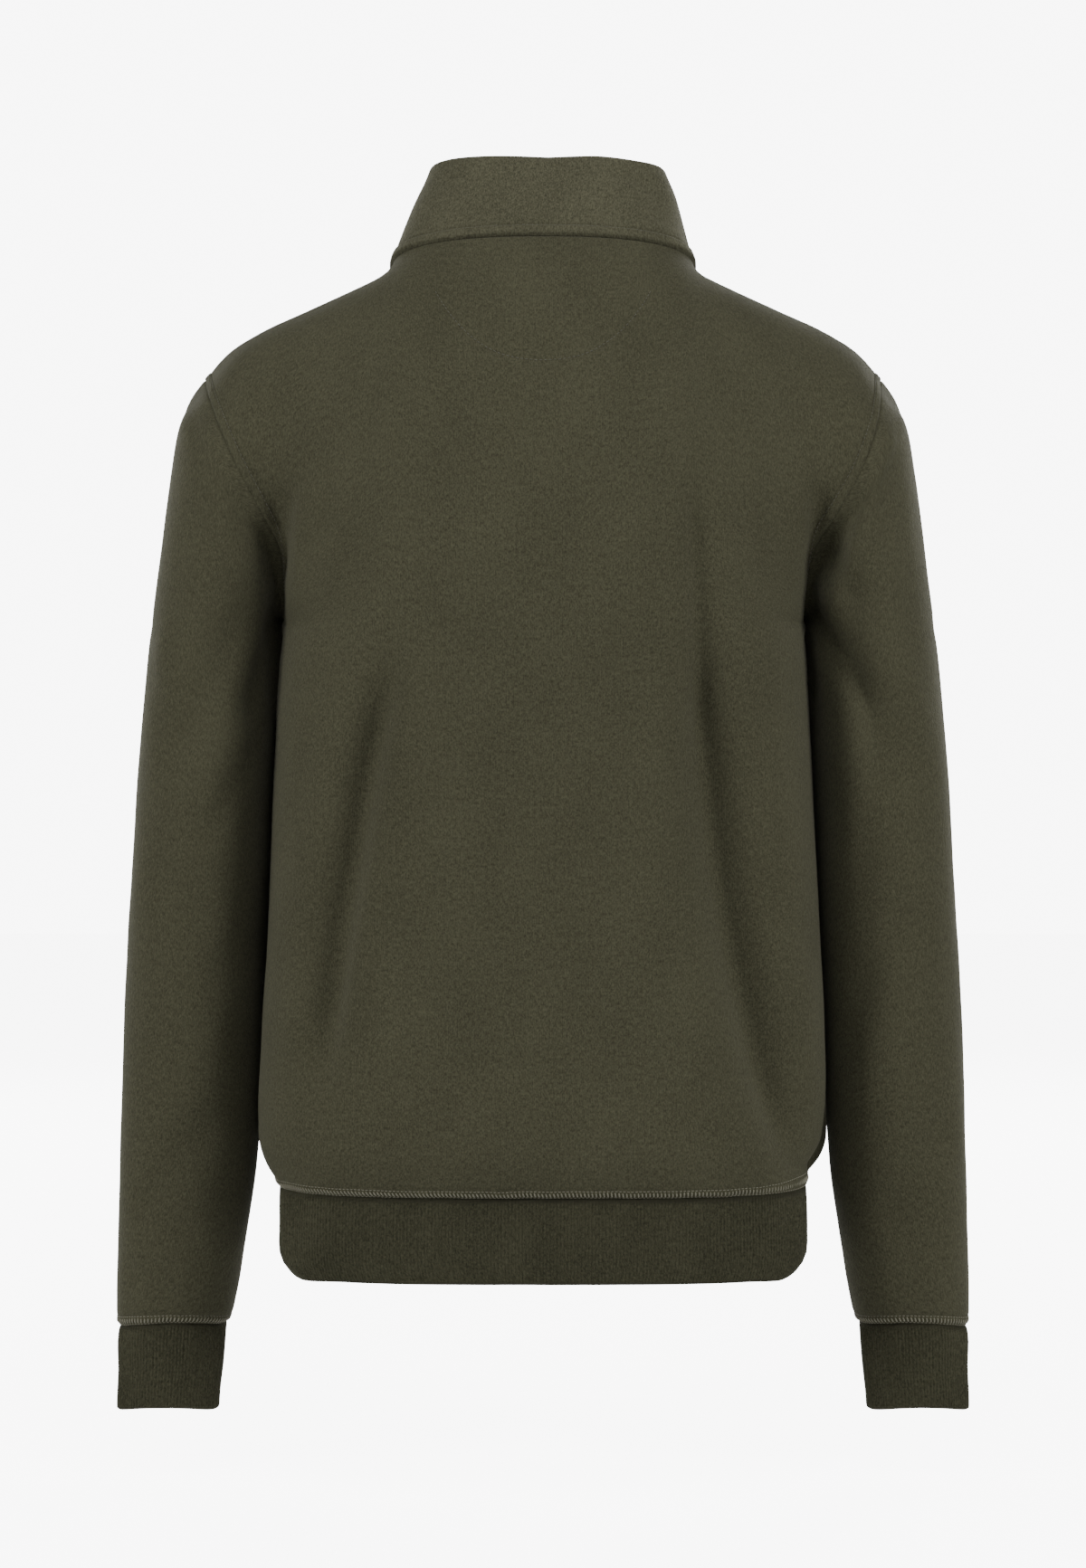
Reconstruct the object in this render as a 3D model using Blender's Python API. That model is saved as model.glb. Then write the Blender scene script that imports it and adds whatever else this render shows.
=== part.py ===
"""Quarter zip sweatshirt, filled out and hollow, as if worn by nobody.

Each cut piece is one closed wall of cloth. The pieces share their seam lines, where their walls
turn to one common direction and stop 0.3 mm apart. The tables and named sizes are in millimetres.
+Z is up, +X is the wearer's left and the front faces -Y. The origin is at the neck's base.
"""
import math

import bmesh
import bpy
import numpy as np
from mathutils import Matrix, Vector

MM = 0.001

# ---------------------------------------------------------------- driving sizes, millimetres
CLOTH = 2.0                 # brushed sweatshirt cloth
RIB_CLOTH = 2.2             # knitted rib of the hem and the cuffs
COLLAR_CLOTH = 3.6          # two layers of the same cloth
SEAM_GAP = 0.3              # between the walls of neighbouring pieces
SIDE_Y = -3.0               # side seams
SHOULDER_Y = -5.0           # shoulder seams
SHOULDER_FULLNESS = 0.78    # below 1 the cloth over the shoulders is rounder
HEM_BAND_HEIGHT = 55.0
HEM_DROPS = (0.0, 3.0, 28.0, 52.0, HEM_BAND_HEIGHT)
HEM_BULGE = 0.005
BAND_RELIEF = (0.0, 0.0, 0.0, -0.1, -0.5)     # the rolled lower edge of the hem and the cuffs
NECK_HALF_WIDTH = 99.0
NECK_BACK = (62.0, 13.0)    # y and z of the neck seam at the centre back
NECK_FRONT = (-75.0, -48.0)
COLLAR_TOP_HALF_WIDTH = 76.5
COLLAR_TOP_BACK = (38.0, 67.0)
COLLAR_TOP_SIDE = (-8.0, 66.0)
COLLAR_TOP_FRONT = (-63.0, 22.0)
COLLAR_BULGE = 1.2
COLLAR_LEAN = -3.2          # the collar's top stands a little to the wearer's right
# The collar's rows, and how far each stands out: the welt beside the neck seam, the rolled top.
COLLAR_HEIGHTS = (0.0, 0.035, 0.08, 0.125, 0.16, 0.33, 0.52, 0.72, 0.88, 0.96, 1.0)
COLLAR_RELIEF = (-0.8, 0.6, 1.0, 0.8, 0.0, 0.0, 0.0, 0.0, 0.0, -0.2, -0.9)
SLIT_HALF_WIDTH = 5.0
ARMHOLE_WELT = 0.9          # how far the sewn edge stands out beside the armhole

# Torso, level sections from the hem seam up to the underarm.
TORSO_COLUMNS = ("height", "half_width", "back", "front", "squareness")
TORSO_SECTIONS = (
    (-602, 171.5, 100, 96, 3.5),
    (-597, 174.5, 105, 101, 3.4),
    (-590, 178.5, 108, 104, 3.3),
    (-579, 183.0, 111, 107, 3.2),
    (-560, 185.2, 112, 108, 3.2),
    (-500, 184.0, 110, 108, 3.1),
    (-420, 180.0, 110, 109, 3.0),
    (-340, 176.5, 113, 113, 3.0),
    (-275, 172.5, 117, 117, 3.0),
    (-252, 170.5, 118, 118, 3.0),
    (-236, 165.0, 119, 118, 3.0),
)
TORSO_ROWS = (-602, -598, -592, -582, -566, -540, -502, -460, -415, -370, -325, -290, -266,
              -250, -236)

# Armhole seam of the back, from the underarm up to the shoulder.
ARMHOLE_COLUMNS = ("x", "y", "z")
ARMHOLE = (
    (165, -3, -236),
    (165, 17, -227),
    (167, 33, -207),
    (171, 47, -186),
    (182, 64, -164),
    (196, 72, -137),
    (207, 64, -113),
    (216, 40, -92),
    (224, -5, -72),
)
# The panels' rows above the underarm: how far up the panel, and how far along the armhole.
RISE_COLUMNS = ("rise", "armhole_share")
RISES = (
    (0.00, 0.000), (0.04, 0.080), (0.085, 0.150), (0.14, 0.225), (0.20, 0.305), (0.27, 0.390),
    (0.35, 0.475), (0.43, 0.555), (0.52, 0.635), (0.61, 0.715), (0.71, 0.790), (0.81, 0.865),
    (0.91, 0.935), (1.00, 1.000),
)
FRONT_SCOOP = 0.92          # the front armhole is a little shallower than the back one
RIGHT_ARMHOLE_OUT = 9.0     # the wearer's right armhole sits further out at mid height

# Shoulder seam, from the neck to the armhole.
SHOULDER_COLUMNS = ("x", "z")
SHOULDER = ((99, 0), (122, -11), (157, -27), (189, -42), (211, -57), (224, -72))

# Places of the torso's columns along each half row, as shares of its length, centre to side.
NECK_SHARES = (0.0, 0.08, 0.155, 0.23, 0.31, 0.385, 0.46)
SHOULDER_SHARES = (0.55, 0.64, 0.73, 0.81, 0.88, 0.935, 0.972, 0.988, 1.0)

# Sleeve, rings below the armhole: the outer and the inner line and the depth front to back.
# Columns: outer_x, outer_z, inner_x, inner_z, middle_y, half_depth.
SLEEVE_RINGS = (
    (238.0, -101, 174.5, -240, -4, 77),
    (244.5, -133, 174.5, -255, -5, 76),
    (249.7, -170, 176.3, -275, -6, 75),
    (254.8, -213, 178.0, -300, -6, 73),
    (260.6, -262, 179.5, -330, -7, 71),
    (265.5, -312, 181.2, -362, -8, 69),
    (270.0, -372, 183.0, -405, -10, 66),
    (274.0, -432, 185.6, -452, -13, 62),
    (277.2, -493, 188.0, -503, -16, 58),
    (279.8, -553, 189.5, -555, -19, 54),
    (281.6, -600, 193.5, -600, -21, 50),
    (283.0, -648, 201.0, -648, -24, 45),
    (284.0, -680, 206.5, -678, -26, 41),
    (283.6, -691, 209.5, -689, -26, 38),
    (281.8, -697, 213.5, -695, -26, 34),
)
SLEEVE_SQUARENESS = 2.25
SLEEVE_RADIUS = 60.0        # turns the folds' angles round the arm into lengths
# From the armhole seam to the sleeve's next ring, at the underarm and at the shoulder.
ARMHOLE_STEP_UNDERARM = (7.0, 0.0, 4.0)
ARMHOLE_STEP_SHOULDER = (8.5, 0.0, -12.0)
CUFF_RINGS = (
    (281.8, -697, 213.5, -695, -26, 34.0),
    (282.8, -701, 213.8, -699, -26, 34.0),
    (283.4, -725, 215.8, -724, -27, 32.5),
    (284.2, -745, 218.0, -745, -27, 31.5),
    (284.2, -753, 218.5, -753, -27, 31.0),
)

# Largest folds: soft troughs in the cloth, in the view from behind or in front.
# Columns: face, x_top, z_top, x_end, z_end, bow, width, depth.
TORSO_FOLDS = (
    ("back", 94, -268, 142, -522, 8, 17, 5.0),
    ("back", -97, -190, -150, -540, 10, 20, 7.0),
    ("back", -84, -400, -100, -560, 4, 14, -2.5),
    ("back", 157, -148, 168, -192, 0, 7, 7.0),
    ("back", -178, -146, -175, -192, 0, 7, 7.0),
    ("front", 120, -215, 70, -400, -10, 17, 5.0),
    ("front", -118, -205, -62, -420, 12, 18, 6.0),
    ("front", 140, -430, 120, -560, 5, 15, 4.0),
    ("front", -135, -450, -128, -570, -5, 16, 4.5),
)
# The same for the sleeves, whose angle runs from the outer side over the back to the inner side.
# Columns: side, angle_top, z_top, angle_end, z_end, width, depth.
SLEEVE_FOLDS = (
    ("left", 120, -215, 70, -330, 14, 4.0),
    ("left", 60, -395, 125, -470, 13, 3.5),
    ("left", 110, -560, 55, -625, 12, 3.0),
    ("left", 250, -330, 310, -430, 14, 4.5),
    ("left", 300, -480, 240, -560, 12, 4.0),
    ("right", 125, -230, 75, -345, 14, 5.0),
    ("right", 100, -330, 130, -520, 14, 4.0),
    ("right", 50, -560, 110, -630, 12, 3.5),
    ("right", 240, -300, 305, -410, 14, 4.5),
    ("right", 305, -470, 235, -545, 12, 4.0),
)

# Zip
TAPE_CLOTH = 0.8
TAPE_INNER_X = 3.1
TAPE_OUTER_X = 16.0
CHAIN_HALF_WIDTH = 2.8
CHAIN_THICKNESS = 2.6
CHAIN_ROWS = 20
STOP_LENGTH = 2.6
TOP_STOP_WIDTH = 1.6
TOP_STOP_THICKNESS = 1.8
SLIDER_BELOW_TOP = 11.5     # its centre, down from the tapes' upper end
SLIDER_LENGTH = 11.0
SLIDER_WIDTH = 8.0
SLIDER_PLATE = 1.2
SLIDER_PLATE_FROM_MIDDLE = 2.2
SLIDER_POST = 3.0
ARCH_CENTRE_Z = 1.0
ARCH_SPAN = 3.8             # opening along the zip
ARCH_OPENING = 2.2          # opening above the slider's front plate
ARCH_BAR = 1.0
ARCH_WIDTH = 2.0
PULL_LENGTH = 26.0
PULL_WIDTH = 6.6
PULL_THICKNESS = 1.4
PULL_EYE_WIDTH = 3.4
PULL_EYE_DROP = 4.4
PULL_ARM_BELOW_EYE = 2.0    # the arms run this far into the plate
PULL_BAR_RADIUS = 0.6
PULL_BAR_SINK = 0.3         # the bar's ends in the arms
LEG_SINK = 0.4              # the arch's legs in the slider's plate
STOP_SPACING = 0.6          # between the slider and the top stops
SLIT_END_SPACING = 1.0      # between the slit's end and the bottom stop

# Neck patch
PATCH_CLOTH = 1.4
PATCH_TOP_RISE = 0.945      # its upper edge, as a share of the back above the underarm
PATCH_DROP_RISE = 0.33
PATCH_SHARES = NECK_SHARES[:4]      # its columns are the back's own
PATCH_ROWS = 6
PATCH_CLEARANCE = 0.9


# ---------------------------------------------------------------- curves and sections
def column(table, names, name):
    """One named column of a table, as numbers."""
    place = names.index(name)
    return np.array([row[place] for row in table], dtype=float)


def smooth_curve(knots, values, at):
    """Points at the given places of a smooth curve through one row of values for each knot."""
    knots = np.asarray(knots, dtype=float)
    values = np.asarray(values, dtype=float)
    at = np.asarray(at, dtype=float)
    slopes = np.gradient(values, knots, axis=0)
    below = np.clip(np.searchsorted(knots, at, side="right") - 1, 0, len(knots) - 2)
    span = knots[below + 1] - knots[below]
    share = (at - knots[below]) / span
    extra = (1,) * (values.ndim - 1)
    share = share.reshape(share.shape + extra)
    span = span.reshape(span.shape + extra)
    square, cube = share ** 2, share ** 3
    return ((2 * cube - 3 * square + 1) * values[below]
            + (cube - 2 * square + share) * span * slopes[below]
            + (3 * square - 2 * cube) * values[below + 1]
            + (cube - square) * span * slopes[below + 1])


def lengths_along(points):
    """Distance along a line of points, as shares of its whole length."""
    steps = np.linalg.norm(np.diff(points, axis=0), axis=1)
    distance = np.concatenate(([0.0], np.cumsum(steps)))
    return distance / distance[-1]


def at_shares(points, shares):
    """Points at the given shares of a line's length."""
    lengths = lengths_along(points)
    return np.stack([np.interp(shares, lengths, points[:, axis]) for axis in range(3)], axis=1)


def ease(value):
    """Soft step from 0 to 1."""
    value = np.clip(value, 0.0, 1.0)
    return value * value * (3.0 - 2.0 * value)


def torso_half_row(height, face, shares):
    """Half of a level section, from the centre of the back or the front to the side seam."""
    knots = column(TORSO_SECTIONS, TORSO_COLUMNS, "height")
    names = ("half_width", face, "squareness")
    values = np.stack([column(TORSO_SECTIONS, TORSO_COLUMNS, name) for name in names], axis=1)
    half_width, depth, squareness = smooth_curve(knots, values, np.array([height]))[0]
    sign = 1.0 if face == "back" else -1.0
    angle = np.linspace(0.0, math.pi / 2, 241)
    x = half_width * np.sin(angle) ** (2 / squareness)
    reach = sign * depth - SIDE_Y
    y = SIDE_Y + reach * np.cos(angle).clip(0) ** (2 / squareness)
    line = np.stack([x, y, np.full_like(x, height)], axis=1)
    return at_shares(line, shares)


def neck_half_row(face, shares):
    """Half of the neck seam, from the centre to the shoulder."""
    depth, rise = NECK_BACK if face == "back" else NECK_FRONT
    angle = np.linspace(math.pi / 2, 0.0, 121)
    power = 2 / 2.3
    x = NECK_HALF_WIDTH * np.cos(angle).clip(0) ** power
    y = SHOULDER_Y + (depth - SHOULDER_Y) * np.sin(angle) ** power
    z = rise * np.sin(angle) ** (0.6 if face == "back" else 1.4)
    return at_shares(np.stack([x, y, z], axis=1), shares)


def top_half_row(face, shares):
    """Neck seam and then shoulder seam, at shares of the torso's half row."""
    corner = NECK_SHARES[-1]
    neck = neck_half_row(face, np.clip(shares / corner, 0, 1))
    x = column(SHOULDER, SHOULDER_COLUMNS, "x")
    z = column(SHOULDER, SHOULDER_COLUMNS, "z")
    fine_x = np.linspace(x[0], x[-1], 61)
    line = np.stack([fine_x, np.full(61, SHOULDER_Y), smooth_curve(x, z, fine_x)], axis=1)
    shoulder = at_shares(line, np.clip((shares - corner) / (1 - corner), 0, 1))
    return np.where((shares <= corner)[:, None], neck, shoulder)


def armhole_line(face, wearer_side, shares):
    """Armhole seam from the underarm to the shoulder, of one face, on the +X side."""
    points = np.stack([column(ARMHOLE, ARMHOLE_COLUMNS, name) for name in "xyz"], axis=1)
    line = smooth_curve(lengths_along(points), points, np.linspace(0, 1, 121))
    if wearer_side == "right":
        line[:, 0] += RIGHT_ARMHOLE_OUT * np.sin(math.pi * np.linspace(0, 1, 121)) ** 2
    if face == "front":
        underarm_to_shoulder = np.linspace(SIDE_Y, SHOULDER_Y, 121)
        line[:, 1] = underarm_to_shoulder - (line[:, 1] - underarm_to_shoulder) * FRONT_SCOOP
    return at_shares(line, shares)


def rising_row(face, shares, rise):
    """Half of a row above the underarm, before it is drawn to the armhole seam."""
    bottom = torso_half_row(TORSO_ROWS[-1], face, shares)
    top = top_half_row(face, shares)
    full_turn = np.radians(50.0 + 38.0 * ease(shares / NECK_SHARES[-1]))
    fullness = 1.0 - (1.0 - SHOULDER_FULLNESS) * ease((shares - 0.3) / 0.3)
    turn = rise * full_turn
    down = (np.cos(turn) - np.cos(full_turn)) / (1 - np.cos(full_turn))
    up = np.sin(turn) / np.sin(full_turn)
    row = np.empty_like(bottom)
    row[:, 0] = bottom[:, 0] + (top[:, 0] - bottom[:, 0]) * ease(rise) ** 1.2
    row[:, 1] = top[:, 1] + (bottom[:, 1] - top[:, 1]) * down.clip(0) ** fullness
    row[:, 2] = bottom[:, 2] + (top[:, 2] - bottom[:, 2]) * up
    return row


def upper_half(face, wearer_side, shares):
    """Rows of half a panel from the underarm up to the neck and the shoulder seam."""
    rises = column(RISES, RISE_COLUMNS, "rise")
    edge = armhole_line(face, wearer_side, column(RISES, RISE_COLUMNS, "armhole_share"))
    pull = np.clip((shares - 0.45) / 0.55, 0, 1) ** 2
    rows = []
    for rise, seam_point in zip(rises, edge):
        row = rising_row(face, shares, rise)
        rows.append(row + pull[:, None] * (seam_point - row[-1]))
    return np.array(rows)


def line_distance(x, z, x_top, z_top, x_end, z_end, bow):
    """Distance of points from a bowed line, and their place along it."""
    along = np.array([x_end - x_top, z_end - z_top], dtype=float)
    length = np.linalg.norm(along)
    along /= length
    step_x, step_z = x - x_top, z - z_top
    place = (step_x * along[0] + step_z * along[1]) / length
    across = step_x * along[1] - step_z * along[0]
    across = across - bow * np.sin(math.pi * np.clip(place, 0, 1))
    return across, place


def trough(across, place, width, depth):
    """A soft trough that fades out at both its ends."""
    fade = ease((place + 0.15) / 0.35) * ease((1.15 - place) / 0.35)
    return depth * fade * np.exp(-0.5 * (across / width) ** 2)


def torso_fold_depth(face, points):
    """How far the folds press the cloth in, at the points of a panel."""
    depth = np.zeros(points.shape[:-1])
    for fold_face, x_top, z_top, x_end, z_end, bow, width, deep in TORSO_FOLDS:
        if fold_face == face:
            across, place = line_distance(points[..., 0], points[..., 2],
                                          x_top, z_top, x_end, z_end, bow)
            depth += trough(across, place, width, deep)
    return depth


def torso_panel(face):
    """Middle surface of the front or the back: rows from the hem up, columns from -X to +X."""
    shares = np.array(NECK_SHARES + SHOULDER_SHARES)
    lower = np.array([torso_half_row(height, face, shares) for height in TORSO_ROWS[:-1]])
    halves = {side: np.concatenate([lower, upper_half(face, side, shares)])
              for side in ("left", "right")}
    mirrored = halves["right"][:, :0:-1] * (-1.0, 1.0, 1.0)
    points = np.concatenate([mirrored, halves["left"]], axis=1)
    inside = np.zeros(points.shape[:-1])
    inside[1:-1, 1:-1] = torso_fold_depth(face, points)[1:-1, 1:-1]
    return points - grid_normals(points, face == "front")[0] * inside[..., None]


def ring(outer_x, outer_z, inner_x, inner_z, middle_y, half_depth, angles):
    """A ring round the arm: from the outer side over the back, the inner side and the front."""
    power = 2 / SLEEVE_SQUARENESS
    outer = np.array([outer_x, 0.0, outer_z])
    inner = np.array([inner_x, 0.0, inner_z])
    cosine, sine = np.cos(angles), np.sin(angles)
    across = np.sign(cosine) * np.abs(cosine) ** power
    points = (outer + inner) / 2 + across[:, None] * (outer - inner) / 2
    points[:, 1] = middle_y + half_depth * np.sign(sine) * np.abs(sine) ** power
    return points


def armhole_ring(wearer_side):
    """Armhole seam as the sleeve's first ring, from the shoulder over the back to the underarm."""
    shares = column(RISES, RISE_COLUMNS, "armhole_share")
    back = armhole_line("back", wearer_side, shares)
    front = armhole_line("front", wearer_side, shares)
    return np.concatenate([back[::-1], front[1:-1]])


def arm_angles():
    """Angles of a sleeve's columns, which meet the rows of the panels at the armhole."""
    turn = math.pi * column(RISES, RISE_COLUMNS, "armhole_share")
    return np.concatenate([math.pi - turn[::-1], math.pi + turn[1:-1]])


def sleeve_fold_depth(wearer_side, points, angles):
    """How far the folds press the sleeve in."""
    depth = np.zeros(points.shape[:-1])
    arc = math.radians(1.0) * SLEEVE_RADIUS
    around = np.degrees(angles)
    for side, angle_top, z_top, angle_end, z_end, width, deep in SLEEVE_FOLDS:
        if side == wearer_side:
            across, place = line_distance(around * arc, points[..., 2], angle_top * arc, z_top,
                                          angle_end * arc, z_end, 0.0)
            depth += trough(across, place, width, deep)
    return depth


def sleeve_tube(wearer_side):
    """Middle surface of a sleeve, on the +X side: rows down the arm, columns round it."""
    angles = arm_angles()
    rings = [armhole_ring(wearer_side)]
    bottom, top = rings[0][:, 2].min(), rings[0][:, 2].max()
    rise = ((rings[0][:, 2] - bottom) / (top - bottom))[:, None]
    step = np.array(ARMHOLE_STEP_UNDERARM) * (1 - rise) + np.array(ARMHOLE_STEP_SHOULDER) * rise
    rings.append(rings[0] + step)
    rings += [ring(*row, angles) for row in SLEEVE_RINGS]
    points = np.array(rings)
    inside = sleeve_fold_depth(wearer_side, points, angles)
    inside[:2] = 0.0
    inside[-2:] = 0.0
    return points - grid_normals(points, False, closed=True)[0] * inside[..., None]


def collar_half_ring(face, height_share):
    """Half of a ring of the collar, from the centre to the side."""
    shares = np.array(NECK_SHARES) / NECK_SHARES[-1]
    bottom = neck_half_row(face, shares)
    depth, rise = COLLAR_TOP_BACK if face == "back" else COLLAR_TOP_FRONT
    side_y, side_z = COLLAR_TOP_SIDE
    angle = (1 - shares) * math.pi / 2
    power = 2 / 2.15
    top = np.stack([COLLAR_TOP_HALF_WIDTH * np.cos(angle).clip(0) ** power,
                    side_y + (depth - side_y) * np.sin(angle) ** power,
                    side_z + (rise - side_z) * np.sin(angle) ** 1.5], axis=1)
    bulge = COLLAR_BULGE * math.sin(math.pi * height_share)
    row = bottom + (top - bottom) * height_share
    outward = row - (0.0, -8.0, 0.0)
    outward[:, 2] = 0.0
    outward /= np.linalg.norm(outward, axis=1)[:, None]
    return row + bulge * outward


def collar_strip():
    """Middle surface of the collar, from its right front edge round the back to the left one."""
    rows = []
    for share in COLLAR_HEIGHTS:
        front = collar_half_ring("front", share)
        back = collar_half_ring("back", share)
        front[0, 0] = SLIT_HALF_WIDTH
        left = np.concatenate([back, front[-2::-1]])
        right = left[:0:-1] * (-1.0, 1.0, 1.0)
        row = np.concatenate([right, left])
        row[1:-1, 0] += COLLAR_LEAN * ease(share)
        rows.append(row)
    return np.array(rows)


# ---------------------------------------------------------------- walls of cloth
def grid_cells(rows, columns, closed, skip=()):
    """Corner places of each cell of a grid, anticlockwise from outside."""
    cells = []
    last = columns if closed else columns - 1
    for row in range(rows - 1):
        for place in range(last):
            if (row, place) not in skip:
                right = (place + 1) % columns
                cells.append(((row, place), (row, right), (row + 1, right), (row + 1, place)))
    return cells


def grid_normals(points, flipped, closed=False, skip=()):
    """Outward direction at each point of a grid, and its cells in outward order."""
    rows, columns = points.shape[:2]
    cells = grid_cells(rows, columns, closed, skip)
    if not flipped:
        cells = [cell[::-1] for cell in cells]
    normals = np.zeros_like(points)
    for cell in cells:
        a, b, c, d = (points[corner] for corner in cell)
        face = np.cross(c - a, d - b)
        for corner in cell:
            normals[corner] += face
    size = np.linalg.norm(normals, axis=-1, keepdims=True)
    return normals / np.where(size == 0, 1.0, size), cells


def border_edges(cells):
    """Directed edges that only one cell uses."""
    edges = set()
    for cell in cells:
        for place in range(4):
            edges.add((cell[place], cell[(place + 1) % 4]))
    return [edge for edge in edges if (edge[1], edge[0]) not in edges]


def seam_key(point):
    """Name of a place, shared by the pieces that are sewn together there."""
    return tuple(np.round(point, 2))


def corner_angle(points, cell, place):
    """Angle of a cell at one of its corners."""
    here = points[cell[place]]
    ahead = points[cell[(place + 1) % 4]] - here
    behind = points[cell[place - 1]] - here
    cosine = np.dot(ahead, behind) / (np.linalg.norm(ahead) * np.linalg.norm(behind))
    return math.acos(max(-1.0, min(1.0, cosine)))


class Piece:
    """A piece of cloth: its middle surface, its cells and what raises its outer side."""

    def __init__(self, name, points, cloth, flipped=False, closed=False, skip=(), relief=0.0):
        self.name = name
        self.points = points
        self.cloth = cloth
        self.normals, self.cells = grid_normals(points, flipped, closed, skip)
        self.border = sorted(border_edges(self.cells))
        self.relief = np.broadcast_to(relief, points.shape[:2])


def join_seams(pieces):
    """Turn the walls of neighbouring pieces to one direction along each seam."""
    shared = {}
    for piece in pieces:
        border_corners = {edge[0] for edge in piece.border}
        for cell in piece.cells:
            for place, corner in enumerate(cell):
                if corner in border_corners:
                    turn = corner_angle(piece.points, cell, place)
                    key = seam_key(piece.points[corner])
                    shared[key] = shared.get(key, 0.0) + piece.normals[corner] * turn
    for piece in pieces:
        for corner in {edge[0] for edge in piece.border}:
            total = shared[seam_key(piece.points[corner])]
            piece.normals[corner] = total / np.linalg.norm(total)


def trimmed_points(piece):
    """Middle surface with each border moved half a seam gap inward."""
    inward = {}
    for start, end in piece.border:
        edge = piece.points[end] - piece.points[start]
        for corner in (start, end):
            direction = np.cross(piece.normals[corner], edge)
            inward.setdefault(corner, []).append(direction / np.linalg.norm(direction))
    points = piece.points.copy()
    for corner, directions in inward.items():
        total = np.sum(directions, axis=0)
        if len(directions) == 2:
            total = total / (1.0 + max(-0.5, float(np.dot(*directions))))
        points[corner] += total * SEAM_GAP / 2
    return points


def build_wall(piece, material):
    """Closed wall: outer side, inner side and the rims between them."""
    points = trimmed_points(piece)
    outer = points + piece.normals * (piece.cloth / 2 + piece.relief)[..., None]
    shrink = np.minimum(piece.relief, 0.0)
    inner = points - piece.normals * (piece.cloth / 2 + shrink)[..., None]
    number = {}
    vertices = []
    for corner in sorted({corner for cell in piece.cells for corner in cell}):
        number[corner] = len(vertices)
        vertices.append(outer[corner])
        vertices.append(inner[corner])
    faces = []
    for cell in piece.cells:
        faces.append([number[corner] for corner in cell])
        faces.append([number[corner] + 1 for corner in reversed(cell)])
    for start, end in piece.border:
        first, last = number[start], number[end]
        if seam_key(piece.points[start]) < seam_key(piece.points[end]):
            faces += [[last, first, last + 1], [first, first + 1, last + 1]]
        else:
            faces += [[last, first, first + 1], [last, first + 1, last + 1]]
    return add_mesh(piece.name, np.array(vertices) * MM, faces, material)


# ---------------------------------------------------------------- scene helpers
def make_material(name, colour, roughness, metallic=0.0):
    material = bpy.data.materials.new(name)
    material.use_nodes = True
    shader = material.node_tree.nodes["Principled BSDF"]
    shader.inputs["Base Color"].default_value = (*colour, 1.0)
    shader.inputs["Roughness"].default_value = roughness
    shader.inputs["Metallic"].default_value = metallic
    return material


def add_mesh(name, vertices, faces, material, sharp_degrees=50):
    mesh = bpy.data.meshes.new(name)
    mesh.from_pydata([tuple(vertex) for vertex in vertices], [], faces)
    mesh.materials.append(material)
    mesh.shade_smooth()
    mesh.set_sharp_from_angle(angle=math.radians(sharp_degrees))
    item = bpy.data.objects.new(name, mesh)
    collection.objects.link(item)
    return item


def box_in(solid, size, centre):
    """Add a box to a mesh, in the zip's own directions and in millimetres."""
    matrix = Matrix.Translation(Vector(centre) * MM)
    matrix = matrix @ Matrix.Diagonal((*(Vector(size) * MM), 1.0))
    bmesh.ops.create_cube(solid, size=1.0, matrix=matrix)


def solid_of_boxes(name, boxes, material, frame):
    """One body from overlapping boxes, joined by Boolean unions, placed in the zip's frame."""
    items = []
    for place, (size, centre) in enumerate(boxes):
        solid = bmesh.new()
        box_in(solid, size, centre)
        mesh = bpy.data.meshes.new(name)
        solid.to_mesh(mesh)
        solid.free()
        item = bpy.data.objects.new(name if place == 0 else name + "_add", mesh)
        item.matrix_world = frame
        items.append(item)
    base = items[0]
    base.data.materials.append(material)
    collection.objects.link(base)
    for item in items[1:]:
        joins.objects.link(item)
        item.hide_render = True
        item.display_type = "WIRE"
        union = base.modifiers.new("join", "BOOLEAN")
        union.operation = "UNION"
        union.solver = "EXACT"
        union.object = item
    return base


# ---------------------------------------------------------------- pieces
def torso_relief():
    """The raised sewn edge beside the armholes."""
    rises = column(RISES, RISE_COLUMNS, "rise")
    rows = len(TORSO_ROWS) - 1 + len(rises)
    columns = 2 * (len(NECK_SHARES) + len(SHOULDER_SHARES)) - 1
    relief = np.zeros((rows, columns))
    upper = len(TORSO_ROWS) - 1
    height = ARMHOLE_WELT * ease((rises - 0.2) / 0.2)
    height[-1] = 0.0
    for place in (1, columns - 2):
        relief[upper:, place] = height
    return relief


def slit_front(points):
    """Set the two middle columns of the front on the edges of the zip's slit."""
    middle = points.shape[1] // 2
    left = points[:, middle:middle + 1] + 0.0
    right = left * (-1.0, 1.0, 1.0)
    left[..., 0] = SLIT_HALF_WIDTH
    right[..., 0] = -SLIT_HALF_WIDTH
    return np.concatenate([points[:, :middle], right, left, points[:, middle + 1:]], axis=1)


def torso_pieces():
    back = torso_panel("back")
    front = slit_front(torso_panel("front"))
    middle = front.shape[1] // 2 - 1
    slit_rows = range(len(TORSO_ROWS) - 1, front.shape[0] - 1)
    slit = {(row, middle) for row in slit_rows}
    front_relief = torso_relief()
    wide = np.insert(front_relief, front_relief.shape[1] // 2, 0.0, axis=1)
    return (Piece("back", back, CLOTH, relief=torso_relief()),
            Piece("front", front, CLOTH, flipped=True, skip=slit, relief=wide))


def hem_piece(back, front):
    """Hem band: its top ring is the lowest row of both panels."""
    loop = np.concatenate([back.points[0], front.points[0][-2:0:-1]])
    rings = []
    for drop in HEM_DROPS:
        share = drop / HEM_BAND_HEIGHT
        out = 1.0 + HEM_BULGE * math.sin(math.pi * share)
        ring_points = loop * (out, out, 1.0)
        ring_points[:, 2] -= drop
        rings.append(ring_points)
    relief = np.array(BAND_RELIEF)[:, None]
    return Piece("hem_rib", np.array(rings), RIB_CLOTH, flipped=True, closed=True, relief=relief)


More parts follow.
